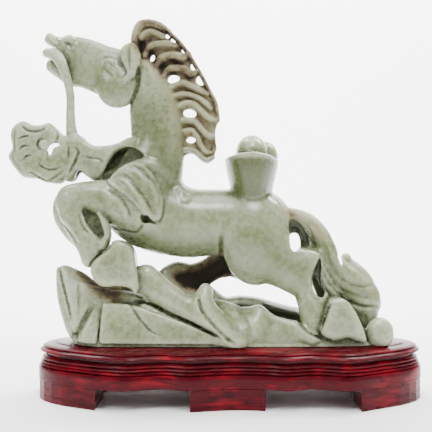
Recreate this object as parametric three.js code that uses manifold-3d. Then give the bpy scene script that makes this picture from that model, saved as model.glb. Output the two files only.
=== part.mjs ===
// A galloping horse carved in pale green stone, with a ruyi sceptre in its mouth and an ingot
// on its back, resting on a moulded wooden stand with six block feet.
// Millimetres, +Z up, +X to the viewer's right, the carved face towards -Y.
import * as THREE from 'three';
import Module from 'manifold-3d';

// Driving dimensions
const FIGURE_HEIGHT = 283.2;    // carving, from the platform to the top of the mane
const STAND_LENGTH = 336;
const STAND_DEPTH = 126;
const STAND_HEIGHT = 48;
const BOARD_THICKNESS = 10;     // moulded top board
const MOULDING_REACH = 15;      // from the apron's face in to the platform's edge
const FOOT_HEIGHT = 17;
const FOOT_DEPTH = 34;          // from the apron's face inwards
const MIDDLE_FOOT_WIDTH = 61;
const CORNER_FOOT_LENGTH = 60;  // from the stand's end inwards
const CORNER_FOOT_GAP = 22;     // between front and back feet at the stand's ends
const FEET_SHIFT = -2.5;        // the hand-cut feet stand this far to the left of the apron
const FOOT_SETBACK = 0.3;       // feet stand this far inside the apron's face
const APRON_WALL = 13;
const APRON_BEAD = 5.5;         // how far the apron's top bead steps in
const LOBE_DEPTH = 7;           // waves of the stand's long sides
const SEAT_GAP = 0.3;           // between touching pieces

// Fineness of the faceted solids
const FIGURE_FACES = 7000;
const CLAY_CELL = 2.5;          // grid step of the carving, in figure parts
const STAND_STEPS = 64;

// The carving is drawn on an elevation 319.5 parts high, as an eye sees it that stands
// EYE.distance in front of the middle plane. place() finds a drawn point's true place.
const PARTS_HIGH = 319.5;
const UNDERSIDE = -2.5;         // drawn height of the carving's flat underside
const PART = FIGURE_HEIGHT / PARTS_HIGH;
const EYE = { x: -14, z: 122, distance: 744 };
const BLOCK = { low: [-228, -58, -10], high: [162, 54, 324] };
const FAR = 60;                 // kept in the block wherever no form is near
const JUST_INSIDE = -0.02;      // value of a node filled to close a pinch
const SKIN_DEPTH = 9;           // grooves and folds reach this far to either side of the skin
const PERSPECTIVE_SLACK = 0.08; // a drawn line's greatest shift between front and back
const SAW = { reach: 400, bottom: -100 };

// Merging edges: least turn of a face's normal, least height to length, weight of even edges
const LEAST_TURN = 0.3;
const LEAST_SHAPE = 0.04;
const EVENNESS = 1e-4;
const WELL_POSED = 1e-3;

const widening = (y) => 1 + y / EYE.distance;

function place([x, y, z, ...radii]) {
  const s = widening(y);
  const across = radii.length ? [radii[0] * s, radii[1] ?? radii[0]] : [];
  return [EYE.x + (x - EYE.x) * s, y, EYE.z + (z - EYE.z) * s, ...across];
}

// Smooth curve through points of any number of components
function spline(points, steps, closed = false) {
  const count = points.length;
  const pick = (i) => points[closed ? (i + count) % count : Math.min(Math.max(i, 0), count - 1)];
  const line = [];
  for (let i = 0; i < (closed ? count : count - 1); i += 1) {
    const [a, b, c, d] = [pick(i - 1), pick(i), pick(i + 1), pick(i + 2)];
    for (let step = 0; step < steps; step += 1) {
      const t = step / steps;
      line.push(b.map((value, k) => {
        const bend = 2 * a[k] - 5 * value + 4 * c[k] - d[k];
        const twist = 3 * (value - c[k]) + d[k] - a[k];
        return value + 0.5 * t * (c[k] - a[k] + t * (bend + t * twist));
      }));
    }
  }
  if (!closed) line.push(points[count - 1]);
  return line;
}

function boxOf(points, reach) {
  const low = [0, 1, 2].map((k) => Math.min(...points.map((p) => p[k] - reach(p, k))));
  const high = [0, 1, 2].map((k) => Math.max(...points.map((p) => p[k] + reach(p, k))));
  return { low, high };
}

// Distance to a rounded form with radii r across and d in depth, measured from its core
function ovalDistance(flat, deep, r, d) {
  const across = flat / (r * r);
  const into = deep / (d * d);
  const k0 = Math.sqrt(across + into);
  const k1 = Math.sqrt(across / (r * r) + into / (d * d)) + 1e-9;
  return k0 * (k0 - 1) / k1;
}

// A limb, lock or strand: stations [x, y, z, radius, depth radius] joined by tapered ovals
function limb(stations, steps = 4) {
  const line = spline(stations.map(place), steps);
  const { low, high } = boxOf(line, (p, k) => (k === 1 ? p[4] : p[3]));
  const widest = Math.max(...line.map((p) => Math.max(p[3], p[4])));
  const distance = (x, y, z) => {
    let best = FAR;
    for (let i = 1; i < line.length; i += 1) {
      const a = line[i - 1];
      const b = line[i];
      const [bx, by, bz] = [b[0] - a[0], b[1] - a[1], b[2] - a[2]];
      const along = (x - a[0]) * bx + (y - a[1]) * by + (z - a[2]) * bz;
      const t = Math.min(Math.max(along / (bx * bx + by * by + bz * bz + 1e-9), 0), 1);
      const flat = (x - a[0] - bx * t) ** 2 + (z - a[2] - bz * t) ** 2;
      const deep = (y - a[1] - by * t) ** 2;
      if (flat + deep > (best + widest) ** 2) continue;
      const reach = ovalDistance(flat, deep, a[3] + (b[3] - a[3]) * t, a[4] + (b[4] - a[4]) * t);
      if (reach < best) best = reach;
    }
    return best;
  };
  return { low, high, distance };
}

// An egg: centre, radii along its own axes, turned in the elevation by tilt degrees
function egg(centre, radii, tilt = 0) {
  const [cx, cy, cz] = place(centre);
  const s = widening(cy);
  const [rx, ry, rz] = [radii[0] * s, radii[1], radii[2] * s];
  const [cos, sin] = [Math.cos(tilt * Math.PI / 180), Math.sin(tilt * Math.PI / 180)];
  const wide = Math.max(rx, rz);
  const distance = (x, y, z) => {
    const u = (x - cx) * cos + (z - cz) * sin;
    const v = (z - cz) * cos - (x - cx) * sin;
    const w = y - cy;
    const k0 = Math.hypot(u / rx, w / ry, v / rz);
    const k1 = Math.hypot(u / rx ** 2, w / ry ** 2, v / rz ** 2) + 1e-9;
    return k0 * (k0 - 1) / k1;
  };
  return { low: [cx - wide, cy - ry, cz - wide], high: [cx + wide, cy + ry, cz + wide], distance };
}

// Signed distance to a closed outline in the elevation, negative inside
function outlineDistance(outline, x, z) {
  let best = Infinity;
  let inside = false;
  for (let i = 0, j = outline.length - 1; i < outline.length; j = i, i += 1) {
    const [ax, az] = outline[j];
    const [bx, bz] = outline[i];
    const [ex, ez] = [bx - ax, bz - az];
    const t = Math.min(Math.max(((x - ax) * ex + (z - az) * ez) / (ex * ex + ez * ez), 0), 1);
    best = Math.min(best, (x - ax - ex * t) ** 2 + (z - az - ez * t) ** 2);
    if ((az > z) !== (bz > z) && x < ax + ex * (z - az) / ez) inside = !inside;
  }
  return inside ? -Math.sqrt(best) : Math.sqrt(best);
}

function pathDistance(path, x, z) {
  let best = Infinity;
  for (let i = 1; i < path.length; i += 1) {
    const [ax, az] = path[i - 1];
    const [ex, ez] = [path[i][0] - ax, path[i][1] - az];
    const t = Math.min(Math.max(((x - ax) * ex + (z - az) * ez) / (ex * ex + ez * ez), 0), 1);
    best = Math.min(best, (x - ax - ex * t) ** 2 + (z - az - ez * t) ** 2);
  }
  return Math.sqrt(best);
}

// A plate with a drawn outline between two depths, rounded at the edge and crowned in the middle
function plate(drawn, near, far, edge, crown = 0, crownFade = 6) {
  const outline = spline(drawn.map(([x, z]) => [x, near, z]), 4, true)
    .map((point) => place(point)).map(([x, , z]) => [x, z]);
  const middle = (near + far) / 2;
  const half = (far - near) / 2;
  const xs = outline.map((p) => p[0]);
  const zs = outline.map((p) => p[1]);
  let column = [NaN, NaN, 0];
  const distance = (x, y, z) => {
    if (column[0] !== x || column[1] !== z) column = [x, z, outlineDistance(outline, x, z)];
    const side = column[2];
    const swell = side < 0 ? crown * (1 - Math.exp(side / crownFade)) : 0;
    const a = side + edge;
    const b = Math.abs(y - middle) - half - swell + edge;
    return Math.min(Math.max(a, b), 0) + Math.hypot(Math.max(a, 0), Math.max(b, 0)) - edge;
  };
  return {
    low: [Math.min(...xs), near - crown, Math.min(...zs)],
    high: [Math.max(...xs), far + crown, Math.max(...zs)],
    distance,
  };
}

// A faceted block: the smallest convex body round the points, its ridges softened by edge
function rock(drawn, edge = 1) {
  const points = drawn.map(place).map((p) => new THREE.Vector3(p[0], p[1], p[2]));
  const faces = [];
  const count = points.length;
  for (let i = 0; i < count; i += 1) {
    for (let j = i + 1; j < count; j += 1) {
      for (let k = j + 1; k < count; k += 1) {
        const plane = new THREE.Plane().setFromCoplanarPoints(points[i], points[j], points[k]);
        const sides = points.map((p) => plane.distanceToPoint(p));
        if (Math.max(...sides) > 1e-6 && Math.min(...sides) > -1e-6) plane.negate();
        else if (Math.max(...sides) > 1e-6) continue;
        const known = faces.some((f) => f.normal.dot(plane.normal) > 0.99999);
        if (!known && plane.normal.length() > 0.5) faces.push(plane);
      }
    }
  }
  const distance = (x, y, z) => {
    let top = -Infinity;
    for (const f of faces) {
      top = Math.max(top, f.normal.x * x + f.normal.y * y + f.normal.z * z + f.constant);
    }
    let sum = 0;
    for (const f of faces) {
      sum += Math.exp((f.normal.x * x + f.normal.y * y + f.normal.z * z + f.constant - top) / edge);
    }
    return top + edge * Math.log(sum);
  };
  const list = points.map((p) => p.toArray());
  return { ...boxOf(list, () => 0), distance };
}

// The same form on the far side
function mirrored(shape) {
  return {
    low: [shape.low[0], -shape.high[1], shape.low[2]],
    high: [shape.high[0], -shape.low[1], shape.high[2]],
    distance: (x, y, z) => shape.distance(x, -y, z),
  };
}

// The lesser of two distances, rounded where they are within blend of each other
function smoothMin(a, b, blend) {
  const near = Math.max(blend - Math.abs(a - b), 0) / blend;
  return Math.min(a, b) - near * near * blend / 4;
}

// A block of clay on a grid: each node holds its distance to the surface, negative inside
class Clay {
  constructor(low, high, cell) {
    this.low = low;
    this.cell = cell;
    this.count = low.map((value, k) => Math.ceil((high[k] - value) / cell) + 1);
    const [nx, ny, nz] = this.count;
    this.stride = [ny, 1, nx * ny];
    this.field = new Float32Array(nx * ny * nz).fill(FAR);
  }

  each(low, high, margin, visit) {
    const first = low.map((v, k) => Math.max(0, Math.ceil((v - margin - this.low[k]) / this.cell)));
    const last = high.map((v, k) => (
      Math.min(this.count[k] - 1, Math.floor((v + margin - this.low[k]) / this.cell))));
    for (let c = first[2]; c <= last[2]; c += 1) {
      for (let a = first[0]; a <= last[0]; a += 1) {
        const row = c * this.stride[2] + a * this.stride[0];
        for (let b = first[1]; b <= last[1]; b += 1) {
          visit(row + b, this.low[0] + a * this.cell, this.low[1] + b * this.cell,
            this.low[2] + c * this.cell);
        }
      }
    }
  }

  add(shape, blend = 1) {
    this.each(shape.low, shape.high, blend + 2 * this.cell, (i, x, y, z) => {
      this.field[i] = smoothMin(this.field[i], shape.distance(x, y, z), blend);
    });
  }

  cut(shape, blend = 1) {
    this.each(shape.low, shape.high, blend + 2 * this.cell, (i, x, y, z) => {
      this.field[i] = -smoothMin(-this.field[i], shape.distance(x, y, z), blend);
    });
  }

  // Cuts a drawn line of the given half width into the surfaces nearer than the depth far
  groove(drawn, width, depth, far = 0) {
    const path = spline(drawn, 4);
    this.onView(path, width + 1, far, (i, x, z) => {
      const off = pathDistance(path, x, z) / width;
      if (off < 1) this.field[i] += depth * 0.5 * (1 + Math.cos(Math.PI * off));
    });
  }

  // Lifts the surface inside a drawn outline, most at its edge, fading over a distance
  raise(drawn, height, fade, far = 0) {
    const outline = spline(drawn, 4, true);
    this.onView(outline, 1, far, (i, x, z) => {
      const side = outlineDistance(outline, x, z);
      if (side < 0) this.field[i] -= height * Math.exp(side / fade) * Math.min(1, -side / 1.5);
    });
  }

  onView(line, reach, far, visit) {
    const points = line.map(([x, z]) => [x, 0, z]);
    const { low, high } = boxOf(points, (p, k) => reach + Math.abs(p[k]) * PERSPECTIVE_SLACK);
    [low[1], high[1]] = [this.low[1], far];
    this.each(low, high, 0, (i, x, y, z) => {
      if (Math.abs(this.field[i]) > SKIN_DEPTH) return;
      const s = widening(y);
      visit(i, EYE.x + (x - EYE.x) / s, EYE.z + (z - EYE.z) / s);
    });
  }

  // Fills single nodes until no two parts of the solid meet only at an edge or a corner
  close() {
    const [sx, sy, sz] = this.stride;
    const [nx, ny, nz] = this.count;
    const field = this.field;
    const fill = (nodes) => {
      const outside = nodes.filter((n) => field[n] >= 0);
      const least = outside.reduce((a, b) => (field[a] < field[b] ? a : b));
      field[least] = JUST_INSIDE;
    };
    const squares = [[sx, sy], [sx, sz], [sy, sz]];
    const corners = [0, sx, sy, sz, sx + sy, sx + sz, sy + sz, sx + sy + sz];
    const opposite = [[0, 7], [1, 6], [2, 5], [3, 4]];
    let changed = true;
    while (changed) {
      changed = false;
      for (let c = 0; c < nz - 1; c += 1) {
        for (let a = 0; a < nx - 1; a += 1) {
          for (let b = 0; b < ny - 1; b += 1) {
            const n = c * sz + a * sx + b * sy;
            for (const [u, v] of squares) {
              const here = field[n] < 0;
              const side = field[n + u] < 0;
              if (here !== side && here === field[n + u + v] < 0 && side === field[n + v] < 0) {
                fill([n, n + u, n + v, n + u + v]);
                changed = true;
              }
            }
            let inner = 0;
            for (const k of corners) if (field[n + k] < 0) inner += 1;
            if (inner !== 2 && inner !== 6) continue;
            for (const [p, q] of opposite) {
              const one = field[n + corners[p]] < 0;
              if (one === field[n + corners[q]] < 0 && one === (inner === 2)) {
                fill(corners.map((k) => n + k));
                changed = true;
              }
            }
          }
        }
      }
    }
  }

  // Keeps the block's outermost nodes outside the solid, so that its skin always closes
  clearWalls() {
    const last = this.count.map((n) => n - 1);
    const rest = this.low.map((value, k) => value + last[k] * this.cell);
    this.each(this.low, rest, 0, (i, ...at) => {
      const nearWall = at.some((value, k) => (
        Math.min(value - this.low[k], rest[k] - value) < 1.5 * this.cell));
      if (nearWall) this.field[i] = FAR;
    });
  }

  // Closed mesh of the surface: one point in each grid cell that the surface passes through
  surface() {
    this.clearWalls();
    this.close();
    const [nx, ny, nz] = this.count;
    const { field, stride } = this;
    const points = [];
    const cellPoint = new Map();
    const corners = [];
    for (let k = 0; k < 8; k += 1) corners.push([k & 1, (k >> 1) & 1, k >> 2]);
    const offsets = corners.map((c) => c[0] * stride[0] + c[1] * stride[1] + c[2] * stride[2]);
    for (let c = 0; c < nz - 1; c += 1) {
      for (let a = 0; a < nx - 1; a += 1) {
        for (let b = 0; b < ny - 1; b += 1) {
          const n = c * stride[2] + a * stride[0] + b;
          let inner = 0;
          for (const k of offsets) if (field[n + k] < 0) inner += 1;
          if (inner === 0 || inner === 8) continue;
          const sum = [0, 0, 0];
          let crossings = 0;
          for (let p = 0; p < 8; p += 1) {
            for (let axis = 0; axis < 3; axis += 1) {
              if (corners[p][axis]) continue;
              const q = p + (1 << axis);
              const [fp, fq] = [field[n + offsets[p]], field[n + offsets[q]]];
              if (fp < 0 === fq < 0) continue;
              crossings += 1;
              for (let k = 0; k < 3; k += 1) {
                sum[k] += corners[p][k] + (k === axis ? fp / (fp - fq) : 0);
              }
            }
          }
          cellPoint.set(n, points.length);
          points.push([a, b, c].map((index, k) => (
            this.low[k] + this.cell * (index + sum[k] / crossings))));
        }
      }
    }
    const faces = [];
    const around = [[1, 2], [2, 0], [0, 1]];
    for (const n of cellPoint.keys()) {
      for (let axis = 0; axis < 3; axis += 1) {
        const next = n + stride[axis];
        if (field[n] < 0 === field[next] < 0) continue;
        const [u, v] = around[axis].map((k) => stride[k]);
        const ring = [n, n - u, n - u - v, n - v].map((cell) => cellPoint.get(cell));
        if (field[n] >= 0) ring.reverse();
        faces.push([ring[0], ring[1], ring[2]], [ring[0], ring[2], ring[3]]);
      }
    }
    return { points, faces };
  }
}

// Keeps the largest connected body of a mesh
function largestBody({ points, faces }) {
  const parent = points.map((_, i) => i);
  const root = (i) => {
    let top = i;
    while (parent[top] !== top) top = parent[top];
    while (parent[i] !== top) [parent[i], i] = [top, parent[i]];
    return top;
  };
  for (const [a, b, c] of faces) {
    parent[root(a)] = root(b);
    parent[root(b)] = root(c);
  }
  const sizes = new Map();
  for (const [a] of faces) sizes.set(root(a), (sizes.get(root(a)) ?? 0) + 1);
  const main = [...sizes].reduce((a, b) => (a[1] > b[1] ? a : b))[0];
  return { points, faces: faces.filter(([a]) => root(a) === main) };
}

// Merges edges, flattest first, until the mesh has few enough faces; it stays closed
function simplify({ points, faces }, target) {
  const position = points.map((p) => [...p]);
  const quadric = points.map(() => new Float64Array(10));
  const ring = points.map(() => new Set());
  const stamp = new Int32Array(points.length);
  const face = faces.map((f) => [...f]);
  const alive = new Uint8Array(faces.length).fill(1);

  const normalOf = (p, q, r) => {
    const [ux, uy, uz] = [q[0] - p[0], q[1] - p[1], q[2] - p[2]];
    const [vx, vy, vz] = [r[0] - p[0], r[1] - p[1], r[2] - p[2]];
    return [uy * vz - uz * vy, uz * vx - ux * vz, ux * vy - uy * vx];
  };
  face.forEach(([a, b, c], f) => {
    const normal = normalOf(position[a], position[b], position[c]);
    const size = Math.hypot(...normal) + 1e-12;
    const [x, y, z] = normal.map((value) => value / size);
    const d = -(x * position[a][0] + y * position[a][1] + z * position[a][2]);
    const terms = [x * x, x * y, x * z, x * d, y * y, y * z, y * d, z * z, z * d, d * d];
    for (const v of [a, b, c]) {
      ring[v].add(f);
      terms.forEach((term, k) => { quadric[v][k] += term * size; });
    }
  });

  const errorAt = (q, [x, y, z]) => (
    q[0] * x * x + 2 * q[1] * x * y + 2 * q[2] * x * z + 2 * q[3] * x + q[4] * y * y
    + 2 * q[5] * y * z + 2 * q[6] * y + q[7] * z * z + 2 * q[8] * z + q[9]);
  const bestPoint = (q, p, r) => {
    const minor = q[4] * q[7] - q[5] * q[5];
    const left = q[1] * q[7] - q[5] * q[2];
    const right = q[1] * q[5] - q[4] * q[2];
    const det = q[0] * minor - q[1] * left + q[2] * right;
    const span = Math.hypot(p[0] - r[0], p[1] - r[1], p[2] - r[2]);
    const middle = [(p[0] + r[0]) / 2, (p[1] + r[1]) / 2, (p[2] + r[2]) / 2];
    if (Math.abs(det) > WELL_POSED * (q[0] + q[4] + q[7]) ** 3) {
      const x = -(q[3] * minor - q[1] * (q[6] * q[7] - q[5] * q[8])
        + q[2] * (q[6] * q[5] - q[4] * q[8])) / det;
      const y = -(q[0] * (q[6] * q[7] - q[8] * q[5]) - q[3] * left
        + q[2] * (q[1] * q[8] - q[6] * q[2])) / det;
      const z = -(q[0] * (q[4] * q[8] - q[5] * q[6]) - q[1] * (q[1] * q[8] - q[6] * q[2])
        + q[3] * right) / det;
      if (Math.hypot(x - middle[0], y - middle[1], z - middle[2]) < span) return [x, y, z];
    }
    const end = errorAt(q, p) < errorAt(q, r) ? p : r;
    return errorAt(q, end) < errorAt(q, middle) ? end : middle;
  };

  const heap = [];
  const push = (item) => {
    let i = heap.push(item) - 1;
    while (i > 0) {
      const up = (i - 1) >> 1;
      if (heap[up].cost <= item.cost) break;
      heap[i] = heap[up];
      i = up;
    }
    heap[i] = item;
  };
  const pop = () => {
    const top = heap[0];
    const item = heap.pop();
    if (!heap.length) return top;
    let i = 0;
    for (;;) {
      let child = 2 * i + 1;
      if (child >= heap.length) break;
      if (child + 1 < heap.length && heap[child + 1].cost < heap[child].cost) child += 1;
      if (heap[child].cost >= item.cost) break;
      heap[i] = heap[child];
      i = child;
    }
    heap[i] = item;
    return top;
  };
  const both = new Float64Array(10);
  const consider = (a, b) => {
    for (let k = 0; k < 10; k += 1) both[k] = quadric[a][k] + quadric[b][k];
    const [p, r] = [position[a], position[b]];
    const point = bestPoint(both, p, r);
    const length2 = (p[0] - r[0]) ** 2 + (p[1] - r[1]) ** 2 + (p[2] - r[2]) ** 2;
    const cost = Math.max(errorAt(both, point), 0) + EVENNESS * length2 * length2;
    push({ cost, a, b, point, stampA: stamp[a], stampB: stamp[b] });
  };
  const neighbours = (v) => {
    const found = new Set();
    for (const f of ring[v]) for (const w of face[f]) if (w !== v) found.add(w);
    return found;
  };
  const turnsOver = (v, other, point) => {
    for (const f of ring[v]) {
      if (face[f].includes(other)) continue;
      const before = normalOf(...face[f].map((w) => position[w]));
      const after = normalOf(...face[f].map((w) => (w === v ? point : position[w])));
      const dot = before[0] * after[0] + before[1] * after[1] + before[2] * after[2];
      if (dot < LEAST_TURN * Math.hypot(...before) * Math.hypot(...after)) return true;
      let longest = 0;
      for (const w of face[f]) {
        const p = position[w];
        const gap = (p[0] - point[0]) ** 2 + (p[1] - point[1]) ** 2 + (p[2] - point[2]) ** 2;
        if (w !== v && gap > longest) longest = gap;
      }
      if (Math.hypot(...after) < LEAST_SHAPE * longest) return true;
    }
    return false;
  };

  for (const [a, b, c] of face) {
    if (a < b) consider(a, b);
    if (b < c) consider(b, c);
    if (c < a) consider(c, a);
  }
  let left = faces.length;
  while (left > target && heap.length) {
    const { a, b, point, stampA, stampB } = pop();
    if (stamp[a] !== stampA || stamp[b] !== stampB) continue;
    const near = neighbours(a);
    const shared = [...neighbours(b)].filter((v) => near.has(v));
    if (!near.has(b) || shared.length !== 2) continue;
    if (turnsOver(a, b, point) || turnsOver(b, a, point)) continue;
    for (const f of [...ring[b]]) {
      if (face[f].includes(a)) {
        for (const v of face[f]) ring[v].delete(f);
        alive[f] = 0;
        left -= 1;
      } else {
        face[f] = face[f].map((v) => (v === b ? a : v));
        ring[a].add(f);
      }
    }
    ring[b].clear();
    position[a] = point;
    quadric[b].forEach((value, k) => { quadric[a][k] += value; });
    stamp[a] += 1;
    stamp[b] += 1;
    for (const v of neighbours(a)) consider(a, v);
  }
  return { points: position, faces: face.filter((_, f) => alive[f]) };
}

// The horse itself: trunk, neck, head, ears and legs
function carveBody(clay) {
  clay.add(limb([[-106, 0, 140, 31, 27], [-80, 0, 126, 38, 32], [-45, 0, 115, 35, 32],
    [-15, 0, 115, 33, 31], [15, 0, 114, 34, 32], [29, 0, 113, 34, 30]]));
  clay.add(limb([[-84, 0, 266, 14, 12], [-79, 0, 254, 19, 14], [-75, 0, 232, 25, 17],
    [-72, 0, 210, 27, 19], [-72, 0, 188, 27, 22], [-80, 0, 163, 33, 27]]), 6);
  clay.add(egg([26, -13, 98], [35, 24, 46]), 6);
  clay.add(egg([26, 13, 98], [35, 24, 46]), 6);
  clay.add(egg([-92, -15, 138], [31, 21, 38]), 6);
  clay.add(egg([-92, 15, 138], [31, 20, 36]), 6);
}

function carveHead(clay) {
  clay.add(limb([[-108, 0, 262, 25, 14], [-128, 0, 267.5, 24.5, 14], [-143, 0, 275, 23, 12],
    [-158, 0, 283, 18, 11], [-170, 0, 291, 11, 10], [-177, 0, 297, 6, 8]]), 4);
  clay.add(limb([[-138, 0, 262, 13, 11], [-150, 0, 262, 12, 10], [-164, 0, 268, 10, 9],
    [-176, 0, 271, 7.5, 8]]), 4);
  clay.add(egg([-112, -8, 250], [21, 10, 21]), 3);
  clay.add(egg([-112, 8, 250], [21, 10, 21]), 3);
  clay.cut(limb([[-192, 0, 293, 3, 20], [-180, 0, 289, 2.5, 20], [-172, 0, 286, 1.5, 20]]));
  for (const side of [(shape) => shape, mirrored]) {
    clay.add(side(limb([[-126, -13, 275, 2, 3], [-120, -14, 276, 3, 4], [-114, -13, 271, 3, 3]])), 3);
    clay.add(side(egg([-120.5, -13, 269.5], [4.5, 4, 7], 28)), 1);
    clay.add(side(plate([[-109, 289], [-103, 294], [-97, 295], [-92, 290], [-89.5, 282],
      [-90, 273], [-93, 265], [-98, 259], [-105, 255], [-108, 258], [-103, 264], [-105, 271],
      [-109, 280]], -19, -9, 2, 1.5)), 2);
    clay.cut(side(limb([[-101, -22, 289, 1.5, 4], [-101, -22, 278, 2, 4], [-100, -22, 268, 1, 3]])), 2);
    clay.cut(side(limb([[-165, -12, 295, 1, 2], [-161, -12, 293, 2.2, 3], [-158, -12, 290, 1, 2]])), 2);
  }
  clay.groove([[-93, 274], [-91, 262], [-92, 250], [-96, 240], [-101, 233]], 3, 3);
  clay.groove([[-126, 272], [-124, 266], [-120, 264], [-115, 261]], 1.8, 1.5);
}

function carveNearLegs(clay) {
  clay.add(limb([[-92, -18, 130, 28, 17], [-118, -22, 136, 22, 15], [-142, -26, 141, 15, 14],
    [-158, -29, 138, 15, 13]]), 4);
  clay.add(limb([[-159, -30, 134, 15, 12], [-156, -31, 120, 13, 11], [-148, -32, 105, 13, 11],
    [-139, -33, 92, 14, 11], [-138, -33, 80, 11, 10]]), 2);
  clay.add(limb([[-131, -32, 122, 4, 9], [-124, -33, 112, 4, 9], [-122, -33, 102, 4, 9],
    [-127, -33, 92, 7, 10]]), 2);
  clay.add(limb([[-146, -29, 118, 7, 8], [-136, -29, 110, 9, 8], [-130, -29, 98, 8, 8]]), 1);
  clay.cut(limb([[-140, -47, 119, 4.5, 12], [-136, -47, 112, 6.5, 14], [-131, -47, 104, 4, 12]]), 1);
  clay.add(plate([[-118, 96], [-109, 96], [-100, 91], [-96, 83], [-94, 72], [-92, 60], [-91, 50],
    [-95, 42], [-99, 48], [-112, 51], [-126, 50], [-135, 55], [-140, 66], [-138, 75], [-130, 84],
    [-121, 90]], -47, -20, 4, 2), 0.8);

  clay.add(limb([[24, -14, 100, 32, 20], [46, -18, 79, 26, 18], [62, -22, 65, 20, 15],
    [76, -25, 50, 14.5, 12], [83, -27, 34, 15.5, 12], [83, -28, 18, 13, 12],
    [82, -28, 8, 9, 11]]), 4);
  clay.add(egg([46, -14, 66], [18, 14, 13]), 3);
  clay.add(egg([80, -20, 80], [12, 12, 10]), 4);
  clay.add(limb([[86, -26, 36, 10, 11], [95, -28, 42, 3.5, 7]]), 2);
  clay.add(plate([[91, 4], [94, 14], [98, 26], [101, 36], [107, 38], [114, 38], [122, 32],
    [130, 18], [136, 3], [137, -6], [128, -4], [118, -1], [104, -4]], -47, -20, 4, 2), 0.8);
}

function carveFarLegs(clay) {
  clay.add(limb([[-98, 16, 136, 26, 16], [-128, 21, 139, 18, 14], [-158, 25, 136, 15, 13],
    [-164, 26, 122, 12, 11], [-157, 27, 106, 11, 10], [-147, 27, 92, 12, 10],
    [-140, 27, 78, 12, 10]]), 4);
  clay.add(plate([[-118, 94], [-104, 92], [-97, 80], [-95, 62], [-98, 50], [-118, 50], [-134, 52],
    [-138, 68], [-132, 82]], 16, 40, 4, 2), 0.8);
  clay.add(limb([[16, 16, 88, 26, 18], [-14, 17, 71, 13, 13], [-36, 16, 60, 14, 12],
    [-52, 13, 66, 10, 10], [-62, 11, 66, 6, 8]]), 5);
}

// Locks of the mane: centre lines drawn from the crest outwards, with their radius
const LOCKS = [
  { line: [[-93, 288], [-93, 300], [-89, 310], [-80, 312], [-70, 309], [-62, 304]], radius: 5.5 },
  { line: [[-88, 297], [-84, 302], [-78, 304], [-72, 302], [-66, 299], [-60, 300]], radius: 4 },
  { line: [[-84, 280], [-81, 287], [-75, 291], [-67, 292], [-60, 292], [-53, 290]], radius: 4.2 },
  { line: [[-72, 270], [-68, 277], [-61, 280], [-54, 280], [-47, 279], [-42, 282]], radius: 5.2 },
  { line: [[-66, 260], [-61, 266], [-54, 268], [-46, 267], [-39, 263], [-33, 265]], radius: 4.4 },
  { line: [[-59, 248], [-53, 252], [-46, 253], [-38, 250], [-30, 246], [-22, 242]], radius: 4 },
  { line: [[-55, 240], [-47, 242], [-39, 241], [-31, 238], [-24, 233], [-19, 228]], radius: 3.6 },
  { line: [[-51, 230], [-43, 233], [-36, 232], [-29, 226], [-22, 219], [-14, 216]], radius: 4.4 },
  { line: [[-47, 216], [-39, 216], [-33, 213], [-27, 206], [-20, 200], [-13, 200]], radius: 4.4 },
  { line: [[-45, 205], [-38, 206], [-33, 201], [-29, 192], [-24, 185], [-18, 184]], radius: 3.8 },
  { line: [[-45, 187], [-38, 187], [-32, 184], [-27, 179], [-22, 177], [-17, 180]], radius: 3.4 },
];
const MANE_RIM = [[-68, 309], [-60, 303], [-53, 297], [-46, 289], [-39, 279], [-33, 269],
  [-27, 259], [-22, 249], [-17, 241], [-13, 235], [-10.5, 227], [-10, 217], [-9.5, 207],
  [-11, 197], [-13, 189], [-16, 182]];
// Holes drilled between the locks: centre, half width, half height, tilt
const MANE_HOLES = [[-57, 298, 3.4, 5, 10], [-45, 286, 3.2, 5, 0], [-77, 278, 2.8, 5, -15],
  [-36, 271, 4, 6.5, -15], [-57, 258, 6.5, 5, 10], [-28, 256, 5, 6, -30], [-41, 223, 6.5, 4.5, -5],
  [-38, 197, 4.6, 3.6, 0]];

function carveMane(clay) {
  clay.add(plate([[-97, 290], [-95, 303], [-91, 314], [-78, 315], [-68, 311], [-52, 299],
    [-38, 281], [-28, 264], [-18, 244], [-12, 230], [-10, 206], [-16, 183], [-22, 176],
    [-30, 182], [-40, 184], [-50, 183], [-60, 220], [-75, 255], [-88, 275]], -4, 4, 2), 1);
  for (const { line, radius } of LOCKS) {
    const stations = line.map(([x, z], i) => {
      const end = i === line.length - 1;
      return [x, 0, z, end ? radius * 0.8 : radius, end ? 8 : 11];
    });
    clay.add(limb(stations), 0.8);
  }
  for (const [x, z, wide, high, tilt] of MANE_HOLES) {
    clay.cut(egg([x, 0, z], [wide, 40, high], tilt), 1);
  }
  clay.add(limb(MANE_RIM.map(([x, z]) => [x, 0, z, 3, 7]), 2), 1);
}

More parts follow.
